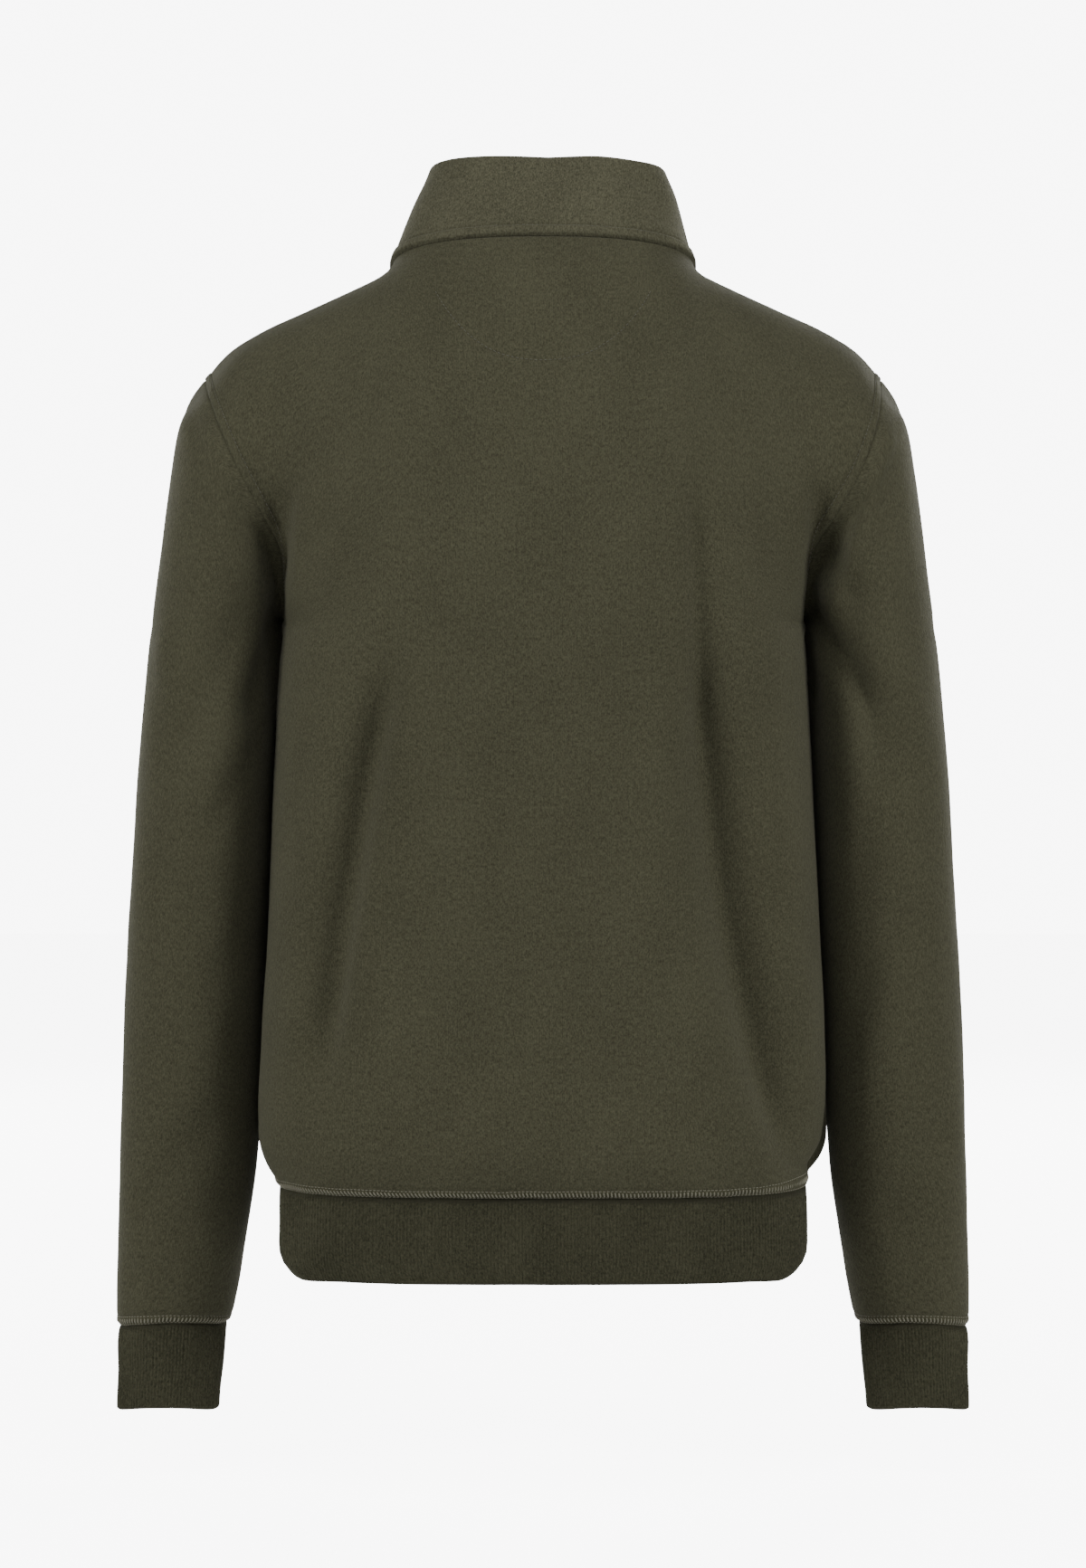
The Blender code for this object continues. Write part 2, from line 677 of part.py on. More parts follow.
def mirrored(points):
    return points * (-1.0, 1.0, 1.0)


def arm_pieces(wearer_side):
    tube = sleeve_tube(wearer_side)
    cuff = np.array([ring(*row, arm_angles()) for row in CUFF_RINGS])
    relief = np.array(BAND_RELIEF)[:, None]
    right = wearer_side == "right"
    if right:
        tube, cuff = mirrored(tube), mirrored(cuff)
    return (Piece("sleeve_" + wearer_side, tube, CLOTH, flipped=right, closed=True),
            Piece("cuff_" + wearer_side, cuff, RIB_CLOTH, flipped=right, closed=True,
                  relief=relief))


def zip_line(front, collar):
    """Front edges of the slit and the collar, from the slit's end up, for the +X side."""
    start = len(TORSO_ROWS) - 2
    middle = front.points.shape[1] // 2
    edge = np.concatenate([front.points[start:, middle], collar.points[1:, -1]])
    beside = np.concatenate([front.points[start:, middle + 1], collar.points[1:, -2]])
    panel_rows = front.points.shape[0] - start
    cloth = np.concatenate([np.full(panel_rows - 1, CLOTH), [COLLAR_CLOTH],
                            np.full(len(collar.points) - 1, COLLAR_CLOTH)])
    return edge, beside, cloth


def tape_pieces(front, collar):
    """Both zip tapes, behind the edges of the slit, made from the points of what they line."""
    edge, beside, cloth = zip_line(front, collar)
    edge, beside, cloth = edge[:-1], beside[:-1], cloth[:-1]
    share = ((TAPE_OUTER_X - edge[:, 0]) / (beside[:, 0] - edge[:, 0]))[:, None]
    inner_share = ((TAPE_INNER_X - edge[:, 0]) / (beside[:, 0] - edge[:, 0]))[:, None]
    strip = np.stack([edge + (beside - edge) * inner_share, edge + (beside - edge) * share], axis=1)
    normals = grid_normals(strip, True)[0]
    depth = (cloth / 2 + SEAM_GAP + TAPE_CLOTH / 2)[:, None, None]
    left = strip - normals * depth
    return [Piece("zip_tape_left", left, TAPE_CLOTH, flipped=True),
            Piece("zip_tape_right", mirrored(left), TAPE_CLOTH)]


def zip_middle(tape):
    """Middle line of the zip, at the depth of the tapes."""
    line = tape.points[:, 0].copy()
    line[:, 0] = 0.0
    return line


def zip_frame(line, distance):
    """Placement at a distance up the zip: local X is across, local Z up the zip, -Y outward."""
    length = np.linalg.norm(np.diff(line, axis=0), axis=1).sum()
    points = at_shares(line, np.array([distance - 2, distance, distance + 2]) / length)
    up = Vector(points[2] - points[0]).normalized()
    across = Vector((1.0, 0.0, 0.0))
    inward = up.cross(across).normalized()
    rotation = Matrix((across, inward, up)).transposed().to_4x4()
    return Matrix.Translation(Vector(points[1]) * MM) @ rotation


def chain_piece(line, bottom, top):
    """The closed chain of teeth, as a flat bar along the middle of the tapes."""
    length = np.linalg.norm(np.diff(line, axis=0), axis=1).sum()
    line = at_shares(line, np.linspace(bottom / length, top / length, CHAIN_ROWS))
    left = line + (CHAIN_HALF_WIDTH, 0.0, 0.0)
    right = line - (CHAIN_HALF_WIDTH, 0.0, 0.0)
    return Piece("zip_chain", np.stack([right, left], axis=1), CHAIN_THICKNESS, flipped=True)


def slider_body(frame, material):
    """Slider: two plates joined by a post at its top, and the arch that holds the pull tab."""
    plate_y = SLIDER_PLATE_FROM_MIDDLE
    plate = (SLIDER_WIDTH, SLIDER_PLATE, SLIDER_LENGTH)
    front_y = -plate_y - SLIDER_PLATE / 2
    post_z = SLIDER_LENGTH / 2 - SLIDER_POST / 2
    arch_y = front_y - ARCH_OPENING - ARCH_BAR / 2
    arch_half = ARCH_SPAN / 2 + ARCH_BAR
    leg = (ARCH_WIDTH, ARCH_OPENING + ARCH_BAR + LEG_SINK, ARCH_BAR)
    leg_y = front_y + LEG_SINK - leg[1] / 2
    boxes = (
        (plate, (0, -plate_y, 0)),
        (plate, (0, plate_y, 0)),
        ((SLIDER_POST, 2 * plate_y, SLIDER_POST), (0, 0, post_z)),
        (leg, (0, leg_y, ARCH_CENTRE_Z + arch_half - ARCH_BAR / 2)),
        (leg, (0, leg_y, ARCH_CENTRE_Z - arch_half + ARCH_BAR / 2)),
        ((ARCH_WIDTH, ARCH_BAR, 2 * arch_half), (0, arch_y, ARCH_CENTRE_Z)),
    )
    return solid_of_boxes("zip_slider", boxes, material, frame)


def pull_axis_y():
    """Depth of the pull tab's axis in the slider's frame: the middle of the arch's opening."""
    return -SLIDER_PLATE_FROM_MIDDLE - SLIDER_PLATE / 2 - ARCH_OPENING / 2


def pull_tab(frame, material):
    """Pull tab: a bar under the slider's arch, two arms and a plate, hung from its bar."""
    arm_width = (PULL_WIDTH - PULL_EYE_WIDTH) / 2
    arm_x = PULL_EYE_WIDTH / 2 + arm_width / 2
    arm = (arm_width, PULL_THICKNESS, PULL_BAR_RADIUS + PULL_EYE_DROP + PULL_ARM_BELOW_EYE)
    arm_z = PULL_BAR_RADIUS - arm[2] / 2
    plate_length = PULL_LENGTH - PULL_EYE_DROP
    bar = 2 * PULL_BAR_RADIUS
    boxes = (
        ((PULL_WIDTH, PULL_THICKNESS, plate_length), (0, 0, -PULL_EYE_DROP - plate_length / 2)),
        (arm, (arm_x, 0, arm_z)),
        (arm, (-arm_x, 0, arm_z)),
        ((PULL_EYE_WIDTH + 2 * PULL_BAR_SINK, bar, bar), (0, 0, 0)),
    )
    return solid_of_boxes("zip_pull_tab", boxes, material, frame)


def stop_bodies(line, bottom, slider_centre, material):
    """The zip's bottom stop, below its chain, and the two top stops, above the slider."""
    place = zip_frame(line, bottom)
    size = (2 * CHAIN_HALF_WIDTH, CHAIN_THICKNESS, STOP_LENGTH)
    solid_of_boxes("zip_bottom_stop", ((size, (0, 0, 0)),), material, place)
    place = zip_frame(line, slider_centre + SLIDER_LENGTH / 2 + STOP_SPACING + STOP_LENGTH / 2)
    x = TAPE_INNER_X - SEAM_GAP - TOP_STOP_WIDTH / 2
    size = (TOP_STOP_WIDTH, TOP_STOP_THICKNESS, STOP_LENGTH)
    solid_of_boxes("zip_top_stop_left", ((size, (x, 0, 0)),), material, place)
    solid_of_boxes("zip_top_stop_right", ((size, (-x, 0, 0)),), material, place)


def patch_piece():
    """Half-moon of cloth sewn inside the back, from the neck seam down."""
    shares = np.array(PATCH_SHARES)
    outward = shares / shares[-1]
    drops = PATCH_DROP_RISE * np.sqrt(1 - 0.8 * outward ** 3)
    rows = []
    for step in np.linspace(0, 1, PATCH_ROWS + 1):
        rises = PATCH_TOP_RISE - drops * (1 - step)
        half = np.array([rising_row("back", np.array([share]), rise)[0]
                         for share, rise in zip(shares, rises)])
        rows.append(np.concatenate([mirrored(half[:0:-1]), half]))
    points = np.array(rows)
    depth = CLOTH / 2 + PATCH_CLEARANCE + PATCH_CLOTH / 2
    return Piece("neck_patch", points - grid_normals(points, False)[0] * depth, PATCH_CLOTH)


# ---------------------------------------------------------------- build
for old in list(bpy.data.objects):
    bpy.data.objects.remove(old, do_unlink=True)

collection = bpy.data.collections.new("quarter_zip_sweatshirt")
joins = bpy.data.collections.new("cutters")
bpy.context.scene.collection.children.link(collection)
bpy.context.scene.collection.children.link(joins)

olive = make_material("olive_sweatshirt_cloth", (0.066, 0.060, 0.040), 0.92)
rib = make_material("olive_rib", (0.045, 0.043, 0.028), 0.90)
tape_cloth = make_material("zip_tape_cloth", (0.035, 0.034, 0.024), 0.85)
metal = make_material("dark_zip_metal", (0.16, 0.15, 0.13), 0.38, 1.0)

back_piece, front_piece = torso_pieces()
collar_piece = Piece("collar", collar_strip(), COLLAR_CLOTH,
                     relief=np.array(COLLAR_RELIEF)[:, None] * 1.0)
cloth_pieces = [back_piece, front_piece, collar_piece, hem_piece(back_piece, front_piece)]
for side_name in ("left", "right"):
    cloth_pieces += arm_pieces(side_name)
join_seams(cloth_pieces)
for cloth_piece in cloth_pieces:
    is_rib = cloth_piece.name.startswith(("hem", "cuff"))
    build_wall(cloth_piece, rib if is_rib else olive)

build_wall(patch_piece(), olive)

tapes = tape_pieces(front_piece, collar_piece)
for tape_piece in tapes:
    build_wall(tape_piece, tape_cloth)
zip_run = zip_middle(tapes[0])
zip_steps = np.linalg.norm(np.diff(zip_run, axis=0), axis=1)
slit_end = zip_steps[0]
slider_at = zip_steps.sum() - SLIDER_BELOW_TOP
stop_at = slit_end + SLIT_END_SPACING + STOP_LENGTH / 2
chain_bottom = stop_at + STOP_LENGTH / 2 + SEAM_GAP
chain_top = slider_at + SLIDER_LENGTH / 2 - SLIDER_POST - SEAM_GAP
build_wall(chain_piece(zip_run, chain_bottom, chain_top), metal)
stop_bodies(zip_run, stop_at, slider_at, metal)
slider_place = zip_frame(zip_run, slider_at)
slider_body(slider_place, metal)
pull_place = slider_place @ Matrix.Translation(Vector((0, pull_axis_y(), ARCH_CENTRE_Z)) * MM)
pull_tab(pull_place, metal)
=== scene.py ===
import math

import bmesh
import bpy
import numpy as np
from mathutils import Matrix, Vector, noise
from mathutils.bvhtree import BVHTree


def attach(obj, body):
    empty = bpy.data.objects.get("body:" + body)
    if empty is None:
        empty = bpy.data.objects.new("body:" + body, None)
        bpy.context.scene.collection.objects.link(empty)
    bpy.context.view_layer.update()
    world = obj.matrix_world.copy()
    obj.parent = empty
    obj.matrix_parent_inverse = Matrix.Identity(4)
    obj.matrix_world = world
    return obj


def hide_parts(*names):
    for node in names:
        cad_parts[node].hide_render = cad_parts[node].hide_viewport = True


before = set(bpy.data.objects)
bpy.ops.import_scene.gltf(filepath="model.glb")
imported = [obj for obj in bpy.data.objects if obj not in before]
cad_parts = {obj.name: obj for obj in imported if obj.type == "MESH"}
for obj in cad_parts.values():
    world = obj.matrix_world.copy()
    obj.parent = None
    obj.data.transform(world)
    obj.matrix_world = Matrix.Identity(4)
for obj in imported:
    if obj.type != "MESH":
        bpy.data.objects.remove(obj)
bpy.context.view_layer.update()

MM = 0.001

# ---------------------------------------------------------------- the garment's sizes
CLOTH = 2.0
RIB_CLOTH = 2.2
COLLAR_CLOTH = 3.6
SIDE_Y = -3.0
SHOULDER_Y = -5.0
SHOULDER_FULLNESS = 0.78
HEM_Z = -602.0
UNDERARM_Z = -236.0
HEM_BAND_HEIGHT = 55.0
HEM_BULGE = 0.005
NECK_HALF_WIDTH = 99.0
NECK_BACK = (62.0, 13.0)
NECK_FRONT = (-75.0, -48.0)
NECK_SHARE = 0.46           # share of half a row that the neck takes, the shoulder takes the rest
COLLAR_TOP_HALF_WIDTH = 76.5
COLLAR_TOP_BACK = (38.0, 68.0)
COLLAR_TOP_SIDE = (-8.0, 66.0)
COLLAR_TOP_FRONT = (-63.0, 22.0)
COLLAR_BULGE = 1.2
COLLAR_LEAN = -3.2
COLLAR_CORNER_RISE = 3.6    # the top edge stands higher towards its back corners
COLLAR_RIGHT_DROP = 2.2     # and its right corner has sunk a little
SLIT_HALF_WIDTH = 5.0

TORSO_COLUMNS = ("height", "half_width", "back", "front", "squareness")
TORSO_SECTIONS = (
    (-602, 171.5, 100, 96, 3.5),
    (-597, 174.5, 105, 101, 3.4),
    (-590, 178.5, 108, 104, 3.3),
    (-579, 183.0, 111, 107, 3.2),
    (-560, 185.2, 112, 108, 3.2),
    (-500, 184.0, 110, 108, 3.1),
    (-420, 180.0, 110, 109, 3.0),
    (-340, 176.5, 113, 113, 3.0),
    (-275, 172.5, 117, 117, 3.0),
    (-252, 170.5, 118, 118, 3.0),
    (-236, 165.0, 119, 118, 3.0),
)
ARMHOLE = (
    (165, -3, -236), (165, 17, -227), (167, 33, -207), (171, 47, -186), (182, 64, -164),
    (196, 72, -137), (207, 64, -113), (216, 40, -92), (224, -5, -72),
)
# How far up the panel a row is, and how far along the armhole it meets the sleeve.
RISES = (
    (0.00, 0.000), (0.04, 0.080), (0.085, 0.150), (0.14, 0.225), (0.20, 0.305), (0.27, 0.390),
    (0.35, 0.475), (0.43, 0.555), (0.52, 0.635), (0.61, 0.715), (0.71, 0.790), (0.81, 0.865),
    (0.91, 0.935), (1.00, 1.000),
)
FRONT_SCOOP = 0.92
RIGHT_ARMHOLE_OUT = 9.0
NECK_SMOOTHING = 260        # passes that ease the cloth below the ends of the neck seam
SHOULDER = ((99, 0), (122, -11), (157, -27), (189, -42), (211, -57), (224, -72))
# Columns: outer_x, outer_z, inner_x, inner_z, middle_y, half_depth.
SLEEVE_RINGS = (
    (238.0, -101, 174.5, -240, -4, 77),
    (244.5, -133, 174.5, -255, -5, 76),
    (249.7, -170, 176.3, -275, -6, 75),
    (254.8, -213, 178.0, -300, -6, 73),
    (260.6, -262, 179.5, -330, -7, 71),
    (265.5, -312, 181.2, -362, -8, 69),
    (270.0, -372, 183.0, -405, -10, 66),
    (274.0, -432, 185.6, -452, -13, 62),
    (277.2, -493, 188.0, -503, -16, 58),
    (279.8, -553, 189.5, -555, -19, 54),
    (281.6, -600, 193.5, -600, -21, 50),
    (283.0, -648, 201.0, -648, -24, 45),
    (284.0, -680, 206.5, -678, -26, 41),
    (283.6, -691, 209.5, -689, -26, 38),
    (281.8, -697, 213.5, -695, -26, 34),
)
SLEEVE_SQUARENESS = 2.25
CUFF_SAG = 4.8              # the sides of a cuff hang lower than its back and front
HEM_SAG = 2.5               # and so do the sides of the hem band
HEM_CORNER = (10.0, 16.0)   # the band draws in at its lower corners, over this height
HEM_DROPS = (0.0, 3.0, 14.0, 28.0, 39.0, 44.0, 48.0, 51.0, 53.5, HEM_BAND_HEIGHT)
SLEEVE_RADIUS = 60.0
ARMHOLE_STEP_UNDERARM = (7.0, 0.0, 4.0)
ARMHOLE_STEP_SHOULDER = (8.5, 0.0, -12.0)
CUFF_RINGS = (
    (281.8, -697, 213.5, -695, -26, 34.0),
    (282.8, -701, 213.8, -699, -26, 34.0),
    (283.4, -725, 215.8, -724, -27, 32.5),
    (284.2, -745, 218.0, -745, -27, 31.5),
    (284.2, -753, 218.5, -753, -27, 31.0),
)

# ---------------------------------------------------------------- folds, troughs and ridges
# Columns: face, x_top, z_top, x_end, z_end, bow, width, depth. A depth below 0 is a ridge.
TORSO_FOLDS = (
    ("back", 98, -266, 142, -522, -4, 9, 12.0),
    ("back", 80, -262, 124, -510, 0, 7, -3.8),
    ("back", 128, -300, 150, -430, -3, 9, -1.6),
    ("back", -97, -150, -105, -312, 0, 6.5, 7.5),
    ("back", -103, -272, -170, -592, -10, 13, 21.0),
    ("back", -90, -330, -134, -560, -4, 13, 4.5),
    ("back", -139, -215, -160, -420, -5, 11, -2.0),
    ("back", 162, -150, 171, -205, 0, 6.5, 3.0),
    ("back", 150, -146, 161, -240, -2, 7, -3.4),
    ("back", -178, -148, -176, -205, 0, 6.5, 3.0),
    ("back", -163, -146, -162, -240, 2, 7, -3.4),
    ("back", 2, -78, 4, -196, 1, 3.2, 0.55),
    ("back", -10, -84, -9, -176, 0, 3.0, 0.45),
    ("back", -22, -74, -20, -205, -1, 3.4, 0.6),
    ("back", -31, -110, -27, -180, 0, 3.0, 0.4),
    ("back", 60, -520, -40, -532, 6, 7, 1.0),
    ("back", 30, -420, 48, -560, 3, 9, 1.2),
    ("back", -30, -450, -22, -575, -3, 8, 1.1),
    ("front", 120, -215, 70, -400, -10, 17, 5.0),
    ("front", -118, -205, -62, -420, 12, 18, 6.0),
    ("front", 140, -430, 120, -560, 5, 15, 4.0),
    ("front", -135, -450, -128, -570, -5, 16, 4.5),
    ("front", 163, -150, 170, -205, 0, 6, 8.0),
    ("front", -166, -148, -172, -205, 0, 6, 8.0),
    ("front", 40, -300, 22, -480, 4, 10, 2.0),
    ("front", -44, -330, -30, -520, -4, 11, 2.2),
    ("front", 86, -300, 60, -430, -6, 12, -2.0),
    ("front", -84, -320, -50, -450, 7, 13, -2.2),
)
# Columns: side, angle_top, z_top, angle_end, z_end, width, depth.
SLEEVE_FOLDS = (
    ("left", 120, -215, 70, -330, 14, 4.0),
    ("left", 60, -395, 125, -470, 13, 3.5),
    ("left", 110, -560, 55, -625, 12, 3.0),
    ("left", 45, -240, 75, -300, 10, -1.8),
    ("left", 150, -300, 95, -380, 9, 2.4),
    ("left", 80, -620, 120, -660, 8, 1.8),
    ("left", 40, -660, 90, -676, 6, 1.4),
    ("left", 250, -330, 310, -430, 14, 4.5),
    ("left", 300, -480, 240, -560, 12, 4.0),
    ("right", 125, -230, 75, -345, 14, 5.0),
    ("right", 100, -330, 130, -520, 14, 4.0),
    ("right", 50, -560, 110, -630, 12, 3.5),
    ("right", 140, -165, 96, -235, 11, 4.5),
    ("right", 168, -215, 102, -285, 8, 6.0),
    ("right", 104, -270, 96, -350, 9, 3.5),
    ("left", 165, -225, 128, -300, 11, 5.0),
    ("right", 85, -250, 55, -310, 10, -2.0),
    ("right", 70, -420, 125, -480, 10, 2.6),
    ("right", 60, -640, 110, -668, 7, 1.8),
    ("right", 240, -300, 305, -410, 14, 4.5),
    ("right", 305, -470, 235, -545, 12, 4.0),
)
# Columns: x_top, z_top, x_end, z_end, width, depth, on the back half of the collar.
COLLAR_FOLDS = (
    (-42, 61, -74, 50, 4.5, 1.7),
    (-76, 46, -70, 26, 5.5, 1.4),
    (66, 58, 74, 34, 6.0, 0.9),
)
UNEVEN_BROAD = (62.0, 0.9)      # size and height of the cloth's broad unevenness
UNEVEN_SMALL = (21.0, 0.35)
RIB_UNEVEN = ((34.0, 0.8), (12.0, 0.25))
COLLAR_UNEVEN = ((38.0, 1.0, 0.8), (15.0, 0.3))
PUCKER = (9.0, 0.32, 11.0)      # size, height and reach of the puckers beside a stitched seam
DRAWN_AT_HEM = (14.0, 1.1, 26.0)    # and of the upright gathers above the hem band
DRAWN_AT_CUFF = (11.0, 1.0, 20.0)   # and above a cuff

# ---------------------------------------------------------------- seams and edges
SEAM_DIP = 0.85             # how far the cloth rolls in at a seam
SEAM_ROLL = 1.6             # over this distance from the seam
WELT_HEIGHT = 0.7           # of the stitched-down edge beside a seam
COLLAR_WELT = 1.5           # and of the collar's
ARMHOLE_STITCH = 6.2        # distance of its row of stitches from the seam
COLLAR_STITCH = 7.6
HEM_STITCHES = (1.6, 7.2)   # the two rows of the flat seam above the hem and the cuffs
SLIT_STITCH = 5.2
LOW_SIDE_SWELL = 3.0        # the body swells towards the sleeves above the hem band
LOW_SIDE_Z = -578.0
ARMPIT_CLOSE = 2.7          # the cloth of body and sleeve bunches together under the arm
ARMPIT_FILL = 4.2           # the sleeve's cloth fills the notch right under the seam
ARMPIT_WAVE = 3.0           # and lies in and out, so that little shows between them
ARMPIT_BUNCH = (4.2, (14.0, -20.0), 9.0)        # height, places in Y and width, close to the seam
ARMPIT_BEYOND = (2.8, (34.0, -40.0), 20.0)      # and lower bunches beyond them
PATCH_CLOTH = 1.4
PATCH_TOP_RISE = 0.945
PATCH_DROP_RISE = 0.362
PATCH_HALF_SHARE = 0.258
TAPE_CLOTH = 0.8
LAID_GAP = 0.35             # between the cloth and a patch or tape that lies on it
TAPE_X = (3.1, 7.0, 10.0, 13.0, 16.0)
TAPE_BELOW_SLIT = 13.0
TOOTH_PITCH = 2.3
TOOTH = (2.5, 2.4, 1.0)     # across, through and along the zip
TOOTH_HEAD = 1.1
CHAIN_FROM_SLIT = 4.6       # the lowest tooth, above the slit's end
CHAIN_BELOW_TOP = 9.3       # the uppermost, below the tapes' end
TOPSTITCH = (2.3, 0.7, 0.5)         # length, spacing and thickness of a stitch
FLAT_STITCH = (2.1, 0.45, 0.5)
BAR_PITCH = 2.4             # of the threads that cross between the two rows
BAR_THICKNESS = 1.0
STITCH_SIDES = 5
BEVEL_SEGMENTS = 2          # of the rounded edges of the zip's metal
# Columns: share of the stitch, lift and width as shares of the thread's thickness.
STITCH_PROFILE = ((0.0, -0.5, 0.35), (0.22, 0.25, 0.9), (0.5, 0.45, 1.0), (0.78, 0.25, 0.9),
                  (1.0, -0.5, 0.35))
GROOVE = 0.55               # depth of the cloth under a row of stitches
GROOVE_WIDTH = 0.75
NEAR_SEAM = (0.0, 0.5, 1.0, 1.6, 2.4, 3.4, 4.4, 5.2, 5.7, 6.2, 6.7, 7.2, 7.8, 8.8, 10.5, 13.0, 16.5)
NEAR_HEM = (0.0, 0.5, 1.0, 1.6, 2.2, 3.0, 4.1, 5.2, 6.0, 6.6, 7.2, 8.0, 9.2, 11.0, 13.5, 17.0)
NEAR_COLLAR = (0.0, 0.5, 1.0, 1.7, 2.8, 4.0, 5.2, 6.2, 7.0, 7.6, 8.2, 8.9, 10.0, 12.0, 14.5)
NEAR_EDGE = (0.0, 0.12, 0.4, 0.85, 1.5, 2.3, 3.6, 4.6, 5.2, 5.8, 7.2, 9.5, 13.0)
NEAR_BAND = (0.0, 0.6, 1.3, 2.2, 3.5, 5.5)
CLOTH_STEP = 4.5
COLLAR_STEP = 3.2
RIB_PITCH = 2.2
RIB_DEPTH = 0.75
COLUMNS_A_RIB = 4
SLEEVE_COLUMNS = 140

# ---------------------------------------------------------------- colours, light and camera
SHEEN_TINT = (0.80, 0.78, 0.62, 1.0)
# Columns: name, dark shade, light shade, cloud, mottle, fibre, wales, bump, sheen.
CLOTHS = (
    ("olive_brushed_cloth", (0.030, 0.029, 0.017, 1), (0.067, 0.066, 0.040, 1),
     0.5, 1.3, 2.6, 0.15, 0.7, 0.08),
    ("olive_cloth_inner_side", (0.025, 0.024, 0.015, 1), (0.054, 0.053, 0.033, 1),
     0.3, 0.8, 1.5, 0.6, 0.9, 0.08),
    # The collar's two shades are lighter than the body cloth's: painted top light on the same
    # cloth.
    ("collar_olive_painted_top_light", (0.034, 0.033, 0.020, 1), (0.086, 0.084, 0.053, 1),
     0.7, 1.3, 2.6, 0.15, 0.7, 0.10),
    ("olive_rib_knit", (0.021, 0.021, 0.012, 1), (0.054, 0.053, 0.032, 1),
     0.9, 1.7, 2.6, 0.1, 0.8, 0.06),
    ("zip_tape_weave", (0.018, 0.017, 0.011, 1), (0.036, 0.034, 0.023, 1),
     0.1, 0.3, 0.8, 1.2, 0.8, 0.05),
)
FLOOR_Z = -0.80             # this and the rest of this part are in metres and watts
FLOOR_SEEN = 7.6            # strength of the floor's own light, where it is seen
WORLD_LIT = 0.13            # of the world's light on the garment
WORLD_SEEN = 8.2            # and where the world itself is seen
# Columns: name, place, size, watts.
LIGHTS = (
    ("left_side", (2.6, 1.7, 0.6), 1.1, 64.0),
    ("right_side", (-2.6, 1.7, 0.6), 1.1, 62.0),
    ("top", (0.0, 1.5, 2.3), 1.4, 44.0),
    ("front_left", (1.5, -2.6, 0.5), 1.2, 55.0),
    ("front_right", (-1.5, -2.6, 0.8), 1.2, 75.0),
)
LIGHT_TARGET = (0.0, 0.0, -0.35)
CAMERA_PLACE = (0.0, 2.2, -0.3399)
CAMERA_LENS = 76.2
CAMERA_SENSOR = 36.0


# ---------------------------------------------------------------- curves and sections
def column(table, names, name):
    """One named column of a table, as numbers."""
    place = names.index(name)
    return np.array([row[place] for row in table], dtype=float)


def smooth_curve(knots, values, at):
    """Points at the given places of a smooth curve through one row of values for each knot."""
    knots = np.asarray(knots, dtype=float)
    values = np.asarray(values, dtype=float)
    at = np.asarray(at, dtype=float)
    slopes = np.gradient(values, knots, axis=0)
    below = np.clip(np.searchsorted(knots, at, side="right") - 1, 0, len(knots) - 2)
    span = knots[below + 1] - knots[below]
    share = (at - knots[below]) / span
    extra = (1,) * (values.ndim - 1)
    share = share.reshape(share.shape + extra)
    span = span.reshape(span.shape + extra)
    square, cube = share ** 2, share ** 3
    return ((2 * cube - 3 * square + 1) * values[below]
            + (cube - 2 * square + share) * span * slopes[below]
            + (3 * square - 2 * cube) * values[below + 1]
            + (cube - square) * span * slopes[below + 1])


def distances_along(points):
    """Distance from the first point along a line of points."""
    steps = np.linalg.norm(np.diff(points[..., :3], axis=0), axis=-1)
    return np.concatenate((np.zeros((1,) + steps.shape[1:]), np.cumsum(steps, axis=0)))


def points_at(at, lengths, line):
    """Points of a line, with all their columns, at the given lengths along it."""
    return np.stack([np.interp(at, lengths, line[:, channel])
                     for channel in range(line.shape[1])], axis=-1)


def at_shares(points, shares):
    """Points at the given shares of a line's length."""
    lengths = distances_along(points)
    return points_at(shares, lengths / lengths[-1], points)


def from_ends(grid):
    """Distances of a grid's points from its first row and from its last."""
    from_first = distances_along(grid)
    return from_first, from_first[-1:] - from_first


def from_sides(grid):
    """Distances of a grid's points from its first column, and from the nearer side."""
    from_start = across(distances_along(across(grid)))
    return from_start, np.minimum(from_start, from_start[:, -1:] - from_start)


def both_sides(half):
    """A whole row from its half on the +X side."""
    return np.concatenate([half[:0:-1] * (-1.0, 1.0, 1.0), half])


def ease(value):
    """Soft step from 0 to 1."""
    value = np.clip(value, 0.0, 1.0)
    return value * value * (3.0 - 2.0 * value)


def torso_half_row(height, face, shares):
    """Half of a level section, from the centre of the back or the front to the side seam."""
    knots = column(TORSO_SECTIONS, TORSO_COLUMNS, "height")
    names = ("half_width", face, "squareness")
    values = np.stack([column(TORSO_SECTIONS, TORSO_COLUMNS, name) for name in names], axis=1)
    half_width, depth, squareness = smooth_curve(knots, values, np.array([height]))[0]
    sign = 1.0 if face == "back" else -1.0
    angle = np.linspace(0.0, math.pi / 2, 241)
    x = half_width * np.sin(angle) ** (2 / squareness)
    reach = sign * depth - SIDE_Y
    y = SIDE_Y + reach * np.cos(angle).clip(0) ** (2 / squareness)
    return at_shares(np.stack([x, y, np.full_like(x, height)], axis=1), shares)


def neck_half_row(face, shares):
    """Half of the neck seam, from the centre to the shoulder."""
    depth, rise = NECK_BACK if face == "back" else NECK_FRONT
    angle = np.linspace(math.pi / 2, 0.0, 121)
    power = 2 / 2.3
    x = NECK_HALF_WIDTH * np.cos(angle).clip(0) ** power
    y = SHOULDER_Y + (depth - SHOULDER_Y) * np.sin(angle) ** power
    z = rise * np.sin(angle) ** (0.6 if face == "back" else 1.4)
    return at_shares(np.stack([x, y, z], axis=1), shares)


